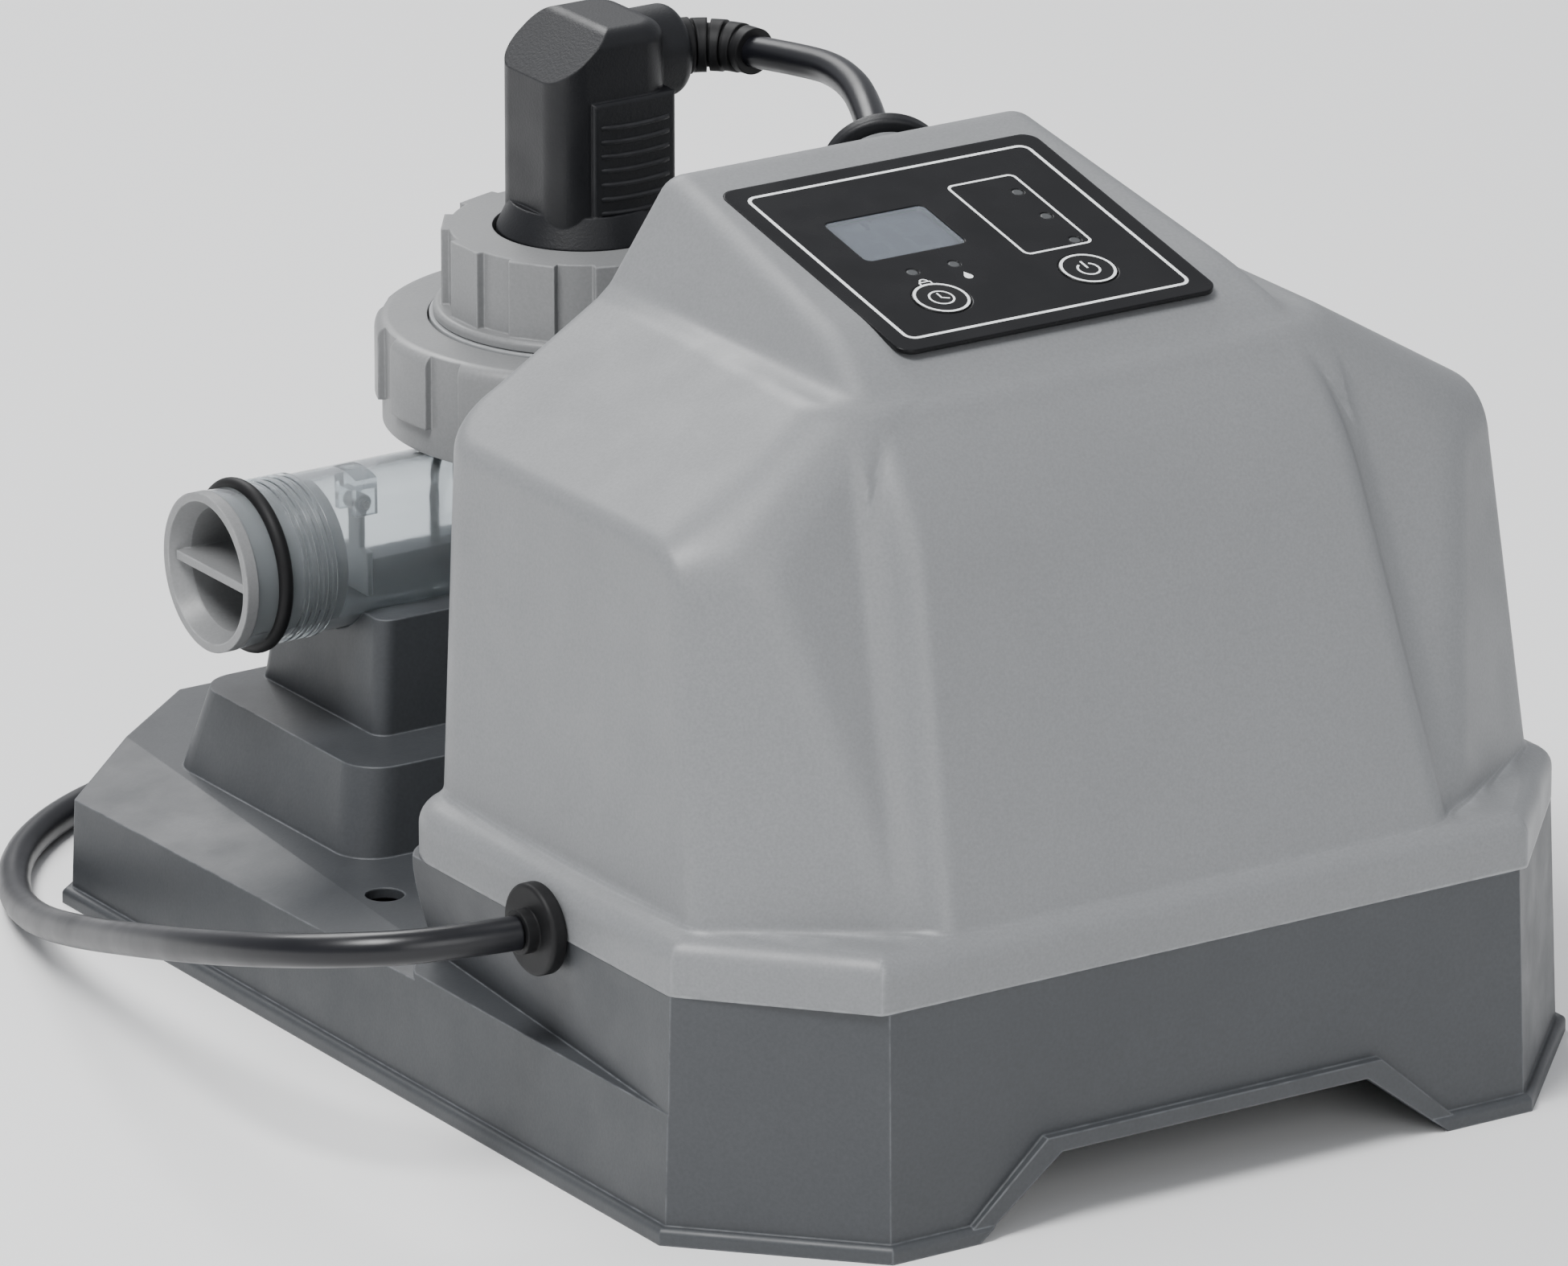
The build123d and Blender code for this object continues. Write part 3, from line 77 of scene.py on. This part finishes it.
class Look:
    """A node material under construction."""

    def __init__(self, name, color, roughness, **inputs):
        self.mat = bpy.data.materials.new(name)
        self.mat.use_nodes = True
        self.tree = self.mat.node_tree
        self.shader = self.tree.nodes["Principled BSDF"]
        self.coord = self.tree.nodes.new("ShaderNodeTexCoord").outputs["Object"]
        self.color = color
        self.set("Base Color", (*color, 1))
        self.set("Roughness", roughness)
        self.height = None
        for key, value in inputs.items():
            self.set(key.replace("_", " "), value)

    def set(self, name, value):
        self.shader.inputs[name].default_value = value

    def node(self, kind, **values):
        made = self.tree.nodes.new(kind)
        for key, value in values.items():
            made.inputs[key.replace("_", " ")].default_value = value
        return made

    def link(self, a, b):
        self.tree.links.new(a, b)

    def noise(self, scale, detail=3.0, rough=0.55, stretch=None):
        made = self.node("ShaderNodeTexNoise", Scale=scale, Detail=detail, Roughness=rough)
        source = self.coord
        if stretch:
            mapping = self.node("ShaderNodeMapping", Scale=stretch)
            self.link(self.coord, mapping.inputs["Vector"])
            source = mapping.outputs["Vector"]
        self.link(source, made.inputs["Vector"])
        return made.outputs["Fac"]

    def span(self, value, low, high, to_low, to_high):
        made = self.node("ShaderNodeMapRange", From_Min=low, From_Max=high, To_Min=to_low, To_Max=to_high)
        self.link(value, made.inputs["Value"])
        return made.outputs["Result"]

    def times(self, a, b):
        made = self.node("ShaderNodeMath")
        made.operation = "MULTIPLY"
        self.link(a, made.inputs[0])
        self.link(b, made.inputs[1])
        return made.outputs[0]

    def tint(self, factor, low, high):
        """Colour that runs from low to high times the base colour."""
        ramp = self.node("ShaderNodeValToRGB")
        ramp.color_ramp.elements[0].color = (*[c * low for c in self.color], 1)
        ramp.color_ramp.elements[1].color = (*[min(c * high, 1) for c in self.color], 1)
        self.link(factor, ramp.inputs["Fac"])
        self.link(ramp.outputs["Color"], self.shader.inputs["Base Color"])

    def gloss(self, factor, low, high):
        self.link(self.span(factor, 0.3, 0.7, low, high), self.shader.inputs["Roughness"])

    def soften(self, radius):
        """Shading of a small rounding on every edge."""
        made = self.node("ShaderNodeBevel", Radius=radius)
        made.samples = 4
        self.height = made.outputs["Normal"]
        self.link(self.height, self.shader.inputs["Normal"])

    def paint_edge_highlight(self, amount):
        """Painted highlight: paler colour where the rounded shading leaves the true face, which is along the
        edges.
        """
        flat = self.node("ShaderNodeNewGeometry").outputs["True Normal"]
        dot = self.node("ShaderNodeVectorMath")
        dot.operation = "DOT_PRODUCT"
        self.link(self.height, dot.inputs[0])
        self.link(flat, dot.inputs[1])
        # Mask of the painted edge highlight: nothing on flat faces, up to amount along the edges, broken up by
        # noise.
        edge = self.span(dot.outputs["Value"], 0.995, 0.93, 0.0, amount)
        patchy = self.times(edge, self.span(self.noise(220.0), 0.35, 0.6, 0.35, 1.0))
        mix = self.node("ShaderNodeMix")
        mix.data_type = "RGBA"
        source = self.shader.inputs["Base Color"].links[0].from_socket
        self.link(patchy, mix.inputs[0])
        self.link(source, mix.inputs[6])
        # Colour of the painted highlight: about three times the base colour, plus a little.
        mix.inputs[7].default_value = (*[min(c * 3.2 + 0.06, 1) for c in self.color], 1)
        self.link(mix.outputs[2], self.shader.inputs["Base Color"])

    def bump(self, factor, strength, distance):
        made = self.node("ShaderNodeBump", Strength=strength, Distance=distance)
        self.link(factor, made.inputs["Height"])
        if self.height:
            self.link(self.height, made.inputs["Normal"])
        self.height = made.outputs["Normal"]
        self.link(self.height, self.shader.inputs["Normal"])


def moulded(name, color, rough=0.45, speckle=1400.0, spread=(0.86, 1.12), bump=0.25, depth=0.0001, edge_highlight=0.0,
            **inputs):
    """Moulded plastic: fine grain, broad faint unevenness, a soft change of gloss, and a painted pale highlight
    along the edges.
    """
    look = Look(name, color, rough, **inputs)
    look.soften(EDGE_SOFTNESS)
    grain = look.noise(speckle, 2.0, 0.6)
    broad = look.noise(14.0, 3.0, 0.6)
    mixed = look.times(look.span(grain, 0.3, 0.7, 0.5, 1.0), look.span(broad, 0.3, 0.7, 0.82, 1.0))
    look.tint(mixed, spread[0], spread[1])
    # Painted pale highlight along the edges, in the given strength.
    if edge_highlight:
        look.paint_edge_highlight(edge_highlight)
    look.gloss(look.noise(60.0), rough - 0.05, rough + 0.07)
    look.bump(grain, bump, depth)
    return look


def brushed(name, color, rough, stretch):
    look = Look(name, color, rough, Metallic=1.0)
    lines = look.noise(700.0, 2.0, 0.5, stretch)
    look.tint(lines, 0.8, 1.15)
    look.gloss(lines, rough - 0.08, rough + 0.12)
    look.bump(lines, 0.15, 0.00005)
    return look


def clear(name, color, rough, transmission=0.92, ior=1.45):
    look = Look(name, color, rough, Transmission_Weight=transmission, IOR=ior)
    waves = look.noise(55.0, 2.0, 0.5)
    look.gloss(waves, max(rough - 0.03, 0.02), rough + 0.06)
    look.tint(waves, 0.93, 1.04)
    look.bump(look.noise(180.0, 2.0), 0.12, 0.0003)
    return look


def make_looks():
    made = {
        "grey": moulded("grey_moulding", (0.185, 0.190, 0.195), 0.44, 1300.0, (0.82, 1.14), 0.22, edge_highlight=0.25),
        "nut_grey": moulded("nut_grey", (0.205, 0.208, 0.210), 0.40, 1300.0, (0.86, 1.12), 0.2, edge_highlight=0.35),
        "dark": moulded("dark_moulding", (0.040, 0.043, 0.047), 0.46, 1100.0, (0.8, 1.22), 0.3, edge_highlight=0.75),
        "light": moulded("light_moulding", (0.30, 0.31, 0.315), 0.35, 900.0, (0.92, 1.05), 0.10, edge_highlight=0.3),
        "plug": moulded("plug_black", (0.0045, 0.0048, 0.006), 0.42, 1500.0, (0.7, 1.5), 0.35, 0.00015,
                        edge_highlight=0.25, Specular_IOR_Level=0.4),
        "rubber": moulded("black_rubber", (0.004, 0.004, 0.0045), 0.55, 800.0, (0.8, 1.4), 0.15,
                          Specular_IOR_Level=0.3),
        "jacket": moulded("cord_jacket", (0.004, 0.0042, 0.006), 0.33, 500.0, (0.8, 1.3), 0.08,
                          Specular_IOR_Level=0.45),
        "film": moulded("label_film", (0.0015, 0.0015, 0.002), 0.25, 1800.0, (0.8, 1.5), 0.03,
                        Specular_IOR_Level=0.25),
        "print": moulded("white_print", (0.86, 0.88, 0.88), 0.45, 2500.0, (0.95, 1.03), 0.03),
        "key": moulded("key_cap", (0.002, 0.002, 0.0022), 0.30, 1600.0, (0.8, 1.5), 0.05,
                       Specular_IOR_Level=0.25),
        "clear": clear("clear_moulding", (0.84, 0.88, 0.90), 0.05),
        "lens": clear("display_lens", (0.72, 0.78, 0.86), 0.08, 0.9),
        "digits": moulded("display_back", (0.035, 0.042, 0.050), 0.30, 1500.0, (0.9, 1.1), 0.03),
        "segment": moulded("display_segment", (0.85, 0.88, 0.92), 0.30, 1500.0, (0.93, 1.05), 0.03,
                           Emission_Color=(0.85, 0.9, 1.0, 1), Emission_Strength=0.35),
        "lamp": moulded("lamp_lens", (0.055, 0.058, 0.060), 0.25, 900.0, (0.9, 1.05), 0.03),
        "board": moulded("circuit_board", (0.02, 0.15, 0.06), 0.3, 600.0, (0.7, 1.3), 0.2),
        "inner": moulded("inner_black", (0.03, 0.03, 0.032), 0.5, 900.0, (0.8, 1.3), 0.2),
        "sleeve": moulded("capacitor_sleeve", (0.03, 0.05, 0.14), 0.25, 900.0, (0.9, 1.1), 0.05),
        "steel": brushed("screw_steel", (0.62, 0.62, 0.61), 0.3, (1, 1, 6)),
        "core": brushed("core_steel", (0.16, 0.16, 0.17), 0.45, (1, 1, 14)),
        "alloy": brushed("heat_sink_alloy", (0.62, 0.63, 0.64), 0.35, (6, 1, 1)),
        "titanium": brushed("coated_titanium", (0.20, 0.20, 0.21), 0.5, (1, 1, 3)),
        "brass": brushed("pin_brass", (0.78, 0.62, 0.34), 0.25, (1, 8, 8)),
    }
    return {key: look.mat for key, look in made.items()}


NODE_LOOKS = {
    "grey": ["hood"],
    "nut_grey": ["union_nut", "locking_collar", "left_port_insert", "right_port_insert"],
    "dark": ["base_tray", "board_carrier"],
    "light": ["cell_head", "flow_paddle", "plate_holder"],
    "plug": ["electrode_plug", "cable_gland", "mains_plug"],
    "rubber": ["port_seals", "neck_seal", "plug_relief", "cord_grommet", "cord_tie"],
    "jacket": ["electrode_cable", "power_cord", "cord_coil"], "film": ["control_label"],
    "key": ["timer_key", "power_key"], "clear": ["cell_housing", "flow_sensor"], "lens": ["display_window"],
    "digits": ["digit_display"], "lamp": ["indicator_lamps"], "board": ["display_board", "power_board"],
    "inner": ["key_switches", "terminal_block"], "sleeve": ["capacitors"],
    "steel": ["hood_screws", "board_screws", "paddle_pin", "electrode_pins"], "core": ["transformer"],
    "alloy": ["heat_sink"], "titanium": ["electrode_plates"], "brass": ["plug_pins"],
}


def dress_nodes(looks):
    for key, names in NODE_LOOKS.items():
        for name in names:
            mesh = NODES[name].data
            mesh.materials.clear()
            mesh.materials.append(looks[key])


# ---- mesh helpers ----
def link_mesh(name, verts, faces, material, body="unit", smooth=True):
    mesh = bpy.data.meshes.new(name)
    mesh.from_pydata([tuple(v) for v in verts], [], faces)
    mesh.materials.append(material)
    mesh.polygons.foreach_set("use_smooth", [smooth] * len(mesh.polygons))
    obj = bpy.data.objects.new(name, mesh)
    bpy.context.scene.collection.objects.link(obj)
    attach(obj, body)
    return obj


# ---- cords ----
CORD_DIAMETER = 0.0082
CABLE_DIAMETER = 0.0080
CORD_ROUTE = [
    (-131.6, -83.6, 60.0), (-153.5, -81.0, 60.2), (-171.0, -67.5, 58.5), (-178.5, -46.0, 53.5),
    (-178.5, -16.0, 45.0), (-172.0, 22.0, 33.5), (-163.0, 64.0, 20.5), (-153.0, 102.0, 9.8),
    (-142.0, 132.0, 4.3), (-127.0, 157.0, 4.3), (-103.0, 177.0, 4.3), (-70.0, 190.0, 4.3),
    (-28.0, 196.0, 4.3), (16.0, 194.0, 4.3), (56.0, 188.5, 4.3), (88.0, 188.2, 4.3), (112.0, 192.0, 4.3),
]
CABLE_ROUTE = [
    (40.4, 81.3, 202.0), (42.0, 64.0, 204.2), (41.5, 45.0, 206.3), (34.5, 22.5, 205.6), (25.1, 4.0, 201.5),
]
COIL_CENTRE = (137.0, 246.0)
COIL_START = 262.0
COIL_TURNS = 7.78
COIL_INNER, COIL_OUTER = 36.9, 53.1
COIL_LOW, COIL_LAYER = 4.3, 8.2
TAIL_POINTS = [(108.5, 211.0, 34.0), (117.0, 203.6, 40.0), (126.0, 201.2, 41.7), (134.0, 201.0, 41.7)]


def coil_points():
    """The stored turns: three flat layers, wound inwards, outwards and inwards again."""
    out = []
    steps = int(COIL_TURNS * 14)
    for i in range(steps + 1):
        turn = COIL_TURNS * i / steps
        layer = int(turn // 3)
        within = turn - 3 * layer
        share = min(within / 2.5, 1.0)
        climb = max(within - 2.5, 0.0) / 0.5
        if layer % 2:
            share = 1 - share
        radius = COIL_OUTER + (COIL_INNER - COIL_OUTER) * share
        angle = math.radians(COIL_START + 360 * turn)
        height = COIL_LOW + COIL_LAYER * (layer + climb)
        out.append((COIL_CENTRE[0] + radius * math.cos(angle), COIL_CENTRE[1] + radius * math.sin(angle), height))
    return out


def cord_curve(name, points, diameter, material):
    curve = bpy.data.curves.new(name, "CURVE")
    curve.dimensions = "3D"
    curve.bevel_depth = diameter / 2
    curve.bevel_resolution = 8
    curve.resolution_u = 8
    curve.use_fill_caps = True
    spline = curve.splines.new("NURBS")
    spline.points.add(len(points) - 1)
    for spot, (x, y, z) in zip(spline.points, points):
        spot.co = (x * MM, y * MM, z * MM, 1)
    spline.order_u = 3
    spline.use_endpoint_u = True
    curve.materials.append(material)
    obj = bpy.data.objects.new(name, curve)
    bpy.context.scene.collection.objects.link(obj)
    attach(obj, "unit")
    return obj


def make_cords(looks):
    cord = cord_curve("mains_cord", CORD_ROUTE + coil_points() + TAIL_POINTS, CORD_DIAMETER, looks["jacket"])
    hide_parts("power_cord", "cord_coil")
    cable = cord_curve("electrode_lead", CABLE_ROUTE, CABLE_DIAMETER, looks["jacket"])
    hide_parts("electrode_cable")


# ---- hood's outer skin ----
SEAM_Z = 59.5
FLANGE_TOP_Z = 73.0
HOOD_REAR_Y = -17.0
SKIN_PROUD = 0.2
SKIN_CENTRE = np.array([0.0, -90.0, 62.0])


def unit(v):
    v = np.array(v, float)
    return v / np.linalg.norm(v)


def plane(points, normal, at):
    """Distance to a plane and its gradient. The hood is the same on both sides, so x counts as |x|."""
    n = unit(normal)
    grad = np.tile(n, (len(points), 1))
    return (points - np.array(at, float)) @ n, grad


def meet(a, b, radius):
    """The common part of two shapes, its edge rounded by an arc of that radius."""
    (fa, ga), (fb, gb) = a, b
    c = np.clip(np.sum(ga * gb, axis=1), -0.999, 0.999)
    ra, rb = fa + radius, fb + radius
    alpha = (ra - c * rb) / (1 - c * c)
    beta = (rb - c * ra) / (1 - c * c)
    q = alpha[:, None] * ga + beta[:, None] * gb
    long_q = np.linalg.norm(q, axis=1)
    inside = (alpha > 0) & (beta > 0)
    f = np.where(inside, long_q - radius, np.maximum(fa, fb))
    pick = np.where((fa > fb)[:, None], ga, gb)
    g = np.where(inside[:, None], q / np.maximum(long_q, 1e-6)[:, None], pick)
    return f, g


def join(a, b, radius):
    """Two shapes together, the valley between them filled by an arc of that radius."""
    f, g = meet((-a[0], -a[1]), (-b[0], -b[1]), radius)
    return -f, -g


def leaning(degrees):
    a = math.radians(degrees)
    return (0, -math.cos(a), math.sin(a))


def hood_field(points):
    p = points.copy()
    p[:, 0] = np.abs(p[:, 0])
    rear = plane(p, (0, 1, 0), (0, HOOD_REAR_Y, 0))
    slope = math.radians(12.5)
    panel = plane(p, (0, -math.sin(slope), math.cos(slope)), (0, -19.4, 213.5))
    front = plane(p, leaning(17.8), (0, -174.1, SEAM_Z))
    centre = meet(panel, front, 70.0)
    centre = meet(centre, plane(p, (2647, -191, 1840), (48.9, -19.4, 213.5)), 7.5)
    centre = meet(centre, plane(p, (1, -0.0474, 0.1193), (73.4, -171.0, 72.0)), 7.5)
    centre = meet(centre, rear, 6.0)
    rise = math.radians(1.2)
    fall = math.radians(31.0)
    roof_top = plane(p, (0, -math.sin(rise), math.cos(rise)), (0, HOOD_REAR_Y, 187.5))
    roof = plane(p, (math.sin(fall), 0, math.cos(fall)), (67.0, 0, 187.5))
    bend = np.clip(16.0 + (112.0 - p[:, 0]) * 0.9, 16.0, 60.0)
    shoulder = meet(roof, plane(p, (0.684, -1.0, 0.1935), (117.0, -137.3, 71.0)), bend)
    shoulder = meet(shoulder, plane(p, leaning(19.4), (0, -168.5, SEAM_Z)), 20.0)
    shoulder = meet(shoulder, roof_top, 10.0)
    draft = math.radians(2.4)
    side_low = meet(plane(p, (math.cos(draft), 0, math.sin(draft)), (117.6, 0, SEAM_Z)), rear, 16.0)
    shoulder = meet(shoulder, side_low, 6.0)
    side = plane(p, (1, 0, 0), (123.92, 0, 0))
    corner = plane(p, (0.7380, -0.6748, 0), (123.92, -137.23, 0))
    flange = meet(meet(side, corner, 2.0), plane(p, (0, -1, 0), (0, -174.22, 0)), 2.0)
    flange = meet(flange, rear, 15.9)
    flange = meet(flange, plane(p, (0, 0, 1), (0, 0, FLANGE_TOP_Z)), 5.9)
    return join(join(centre, shoulder, 8.0), flange, 2.5)


SKIN_NEAR, SKIN_FAR = 10.0, 260.0    # a ray leaves the skin between these distances
HALVINGS = 22


def skin_hits(directions):
    """Where rays from inside the hood leave its skin."""
    near = np.full(len(directions), SKIN_NEAR)
    far = np.full(len(directions), SKIN_FAR)
    for _ in range(HALVINGS):
        middle = (near + far) / 2
        f, _g = hood_field(SKIN_CENTRE + directions * middle[:, None])
        inside = f < SKIN_PROUD
        near = np.where(inside, middle, near)
        far = np.where(inside, far, middle)
    return SKIN_CENTRE + directions * near[:, None]


HOOD_WALL = 2.2
POLE_GAP = 0.004
SEAM_GAP = 0.05


def make_hood_skin(looks, around=720, up=230):
    turns = np.linspace(0, 2 * math.pi, around, endpoint=False)
    level = np.stack([np.cos(turns), np.sin(turns), np.zeros(around)], axis=1)
    reach = np.linalg.norm(skin_hits(level) - SKIN_CENTRE, axis=1)
    lowest = np.arctan2(SEAM_Z + SEAM_GAP - SKIN_CENTRE[2], reach)
    share = np.linspace(0, 1, up)[:, None]
    rise = lowest[None, :] + share * (math.pi / 2 - POLE_GAP - lowest[None, :])
    rays = np.stack([np.cos(rise) * np.cos(turns), np.cos(rise) * np.sin(turns), np.sin(rise)], axis=2)
    points = skin_hits(rays.reshape(-1, 3))
    faces = []
    keep = ~under_label(points)
    for j in range(up - 1):
        for i in range(around):
            k = (i + 1) % around
            quad = (j * around + i, j * around + k, (j + 1) * around + k, (j + 1) * around + i)
            if keep[list(quad)].any():
                faces.append(quad)
    skin = link_mesh("hood_skin", points * MM, faces, looks["grey"])
    shell = skin.modifiers.new("wall", "SOLIDIFY")
    shell.thickness = HOOD_WALL * MM
    shell.offset = -1
    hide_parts("hood")


def turned(name, profile, centre, axis, material, steps=72):
    """A round piece: (radius, height) pairs turned about an axis through its centre."""
    axis = unit(axis)
    across = unit(np.cross(axis, (1, 0, 0) if abs(axis[0]) < 0.9 else (0, 1, 0)))
    other = np.cross(axis, across)
    verts, faces = [], []
    for radius, height in profile:
        for i in range(steps):
            a = 2 * math.pi * i / steps
            outward = across * math.cos(a) + other * math.sin(a)
            spot = np.array(centre) + axis * height + outward * radius
            verts.append(spot * MM)
    for j in range(len(profile) - 1):
        for i in range(steps):
            k = (i + 1) % steps
            faces.append((j * steps + i, j * steps + k, (j + 1) * steps + k, (j + 1) * steps + i))
    return link_mesh(name, verts, faces, material)


GLAND_CENTRE = (22.0, -3.0, 199.0)
GLAND_TILT, GLAND_TURN = math.radians(18.0), math.radians(24.0)
GLAND_AXIS = (math.sin(GLAND_TURN) * math.cos(GLAND_TILT), math.cos(GLAND_TURN) * math.cos(GLAND_TILT),
              math.sin(GLAND_TILT))


def make_gland_boss(looks):
    """The hood's boss behind the cable gland."""
    profile = [(12.5, -30), (12.5, -5.2), (11.6, -4.05), (6.4, -4.0)]
    boss = turned("gland_boss", profile, GLAND_CENTRE, GLAND_AXIS, looks["grey"])


# ---- control panel ----
SLOPE = math.radians(12.5)
DOWN = np.array([0, -math.cos(SLOPE), -math.sin(SLOPE)])
OUT = np.array([0, -math.sin(SLOPE), math.cos(SLOPE)])
LABEL_REAR = np.array([0, -19.4, 213.5]) + DOWN * 14.2
LABEL_HALF, LABEL_LONG = 44.2, 81.0


def under_label(points):
    """Points of the panel that the label hides."""
    v = (points - LABEL_REAR) @ DOWN
    h = (points - LABEL_REAR) @ OUT
    return (np.abs(points[:, 0]) < LABEL_HALF - 4) & (v > 4) & (v < LABEL_LONG - 4) & (np.abs(h) < 3)


def on_label(x, v, h):
    return (np.array([x, 0, 0]) + LABEL_REAR + DOWN * v + OUT * h) * MM


def rounded(x0, x1, v0, v1, radius, steps=8):
    """A rounded rectangle's outline on the label."""
    out = []
    for cx, cv, start in ((x1 - radius, v1 - radius, 0), (x0 + radius, v1 - radius, 90),
                          (x0 + radius, v0 + radius, 180), (x1 - radius, v0 + radius, 270)):
        for i in range(steps + 1):
            a = math.radians(start + 90 * i / steps)
            out.append((cx + radius * math.cos(a), cv + radius * math.sin(a)))
    return out


def circle(x, v, radius, start=0, end=360, steps=48):
    count = steps if end - start == 360 else steps + 1
    angles = [math.radians(start + (end - start) * i / steps) for i in range(count)]
    return [(x + radius * math.cos(a), v + radius * math.sin(a)) for a in angles]


class Print:
    """Flat printed shapes on the label, gathered into one mesh."""

    def __init__(self, height):
        self.height = height
        self.verts = []
        self.faces = []

    def band(self, outer, inner, closed=True):
        """The strip between two outlines with the same number of points."""
        base = len(self.verts)
        n = len(outer)
        self.verts += [on_label(x, v, self.height) for x, v in outer + inner]
        for i in range(n if closed else n - 1):
            k = (i + 1) % n
            self.faces.append((base + i, base + n + i, base + n + k, base + k))

    def fill(self, outline):
        base = len(self.verts)
        self.verts += [on_label(x, v, self.height) for x, v in outline]
        self.faces.append(tuple(range(base, base + len(outline)))[::-1])

    def line(self, x0, v0, x1, v1, width):
        dx, dv = x1 - x0, v1 - v0
        size = math.hypot(dx, dv)
        ox, ov = -dv / size * width / 2, dx / size * width / 2
        self.fill([(x0 + ox, v0 + ov), (x1 + ox, v1 + ov), (x1 - ox, v1 - ov), (x0 - ox, v0 - ov)])

    def frame(self, x0, x1, v0, v1, radius, width):
        self.band(rounded(x0, x1, v0, v1, radius),
                  rounded(x0 + width, x1 - width, v0 + width, v1 - width, max(radius - width, 0.2)))

    def ring(self, x, v, radius, width, start=0, end=360):
        self.band(circle(x, v, radius, start, end), circle(x, v, radius - width, start, end), end - start == 360)

    def done(self, name, material, body="unit"):
        obj = link_mesh(name, self.verts, self.faces, material, body, False)
        return obj


def drop_shape(ink, x, v, size):
    """A small water drop."""
    round_part = circle(x, v + size * 0.25, size * 0.5, -30, 210, 16)
    ink.fill(round_part + [(x, v - size * 0.75)])


def make_label_print(looks):
    ink = Print(0.33)
    ink.frame(-LABEL_HALF + 4.5, LABEL_HALF - 4.5, 4.5, LABEL_LONG - 4.5, 3.0, 0.9)
    ink.frame(9.3, 28.5, 16.0, 51.4, 2.0, 0.7)
    drop_shape(ink, -9.3, 54.6, 2.2)
    ink.frame(-22.6, -19.2, 53.8, 56.4, 0.4, 0.4)
    ink.ring(-20.9, 53.8, 1.2, 0.4, 180, 360)
    ink.done("label_print", looks["print"])
    timer = Print(0.54)
    timer.ring(-21.3, 62.0, 6.75, 0.7)
    timer.ring(-21.3, 62.0, 3.2, 0.5)
    timer.line(-21.3, 62.2, -21.3, 59.9, 0.5)
    timer.line(-21.4, 62.0, -19.6, 62.9, 0.5)
    timer.done("timer_key_print", looks["print"], "timer_key")
    power = Print(0.54)
    power.ring(19.6, 62.0, 6.75, 0.7)
    power.ring(19.6, 62.3, 2.9, 0.55, -60, 240)
    power.line(19.6, 61.9, 19.6, 58.6, 0.6)
    power.done("power_key_print", looks["print"], "power_key")


SEGMENTS = {"3": "abcdg", "8": "abcdefg"}


DIGIT_LEVEL = -1.63


def make_digits(looks):
    """Seven-segment digits, just under the display's face."""
    ink = Print(DIGIT_LEVEL)
    for digit, x in (("3", -21.6), ("8", -8.6)):
        w, h, t = 3.6, 6.6, 1.6
        v = 31.8
        bars = {
            "a": (x - w, v - h, x + w, v - h), "g": (x - w, v, x + w, v), "d": (x - w, v + h, x + w, v + h),
            "f": (x - w, v - h, x - w, v), "b": (x + w, v - h, x + w, v),
            "e": (x - w, v, x - w, v + h), "c": (x + w, v, x + w, v + h),
        }
        for name in SEGMENTS[digit]:
            x0, v0, x1, v1 = bars[name]
            sx, sv = (x1 - x0) * 0.1, (v1 - v0) * 0.08
            ink.line(x0 + sx, v0 + sv, x1 - sx, v1 - sv, t)
    ink.done("display_segments", looks["segment"])


# ---- plug's grip lines ----
def make_grip(looks):
    """Thin raised lines across the plug's front face."""
    verts, faces = [], []
    y = 95.0 - 15.5 - 1.2
    for i in range(7):
        z = 169.5 + i * 3.6
        base = len(verts)
        for x in np.linspace(-5.5, 14.0, 21):
            bow = 0.8 * math.cos((x - 4) / 10 * 1.3)
            soft = min(1.0, (9.9 - abs(x - 4.25)) / 1.5)
            for dz, dy in ((-0.75, 0.1), (-0.35, -0.55 * soft), (0.35, -0.55 * soft), (0.75, 0.1)):
                verts.append((x * MM, (y + dy) * MM, (z + dz - bow) * MM))
        for k in range(20):
            for m in range(3):
                a = base + 4 * k + m
                faces.append((a, a + 4, a + 5, a + 1))
    grip = link_mesh("plug_grip_lines", verts, faces, looks["plug"])


# ---- surroundings ----
def make_surroundings():
    floor_look = Look("pale_floor", (0.90, 0.90, 0.895), 0.7)
    floor_look.tint(floor_look.noise(3.0), 0.985, 1.01)
    mesh = bpy.data.meshes.new("floor")
    size = 14.0
    corners = [(-size, -size, 0), (size, -size, 0), (size, size, 0), (-size, size, 0)]
    mesh.from_pydata(corners, [], [(0, 1, 2, 3)])
    mesh.materials.append(floor_look.mat)
    floor = bpy.data.objects.new("floor", mesh)
    bpy.context.scene.collection.objects.link(floor)
    world = bpy.data.worlds.new("pale_room")
    world.use_nodes = True
    world.node_tree.nodes["Background"].inputs["Color"].default_value = (0.93, 0.95, 1.0, 1)
    world.node_tree.nodes["Background"].inputs["Strength"].default_value = 0.55
    bpy.context.scene.world = world
    add_light("key_light", (-1.2, -0.4, 2.3), 1.0, 75)
    add_light("front_light", (-0.4, -2.2, 0.9), 1.2, 14)
    add_light("rear_light", (0.4, 2.0, 1.9), 1.2, 40)


def add_light(name, spot, size, power):
    data = bpy.data.lights.new(name, "AREA")
    data.size = size
    data.energy = power
    light = bpy.data.objects.new(name, data)
    bpy.context.scene.collection.objects.link(light)
    light.location = spot
    light.rotation_mode = "QUATERNION"
    light.rotation_quaternion = (Vector((0, 0, 0.1)) - Vector(spot)).to_track_quat("-Z", "Y")


clear_defaults()
make_camera()
LOOKS = make_looks()
make_cords(LOOKS)
dress_nodes(LOOKS)
make_hood_skin(LOOKS)
make_gland_boss(LOOKS)
make_label_print(LOOKS)
make_digits(LOOKS)
make_grip(LOOKS)
make_surroundings()
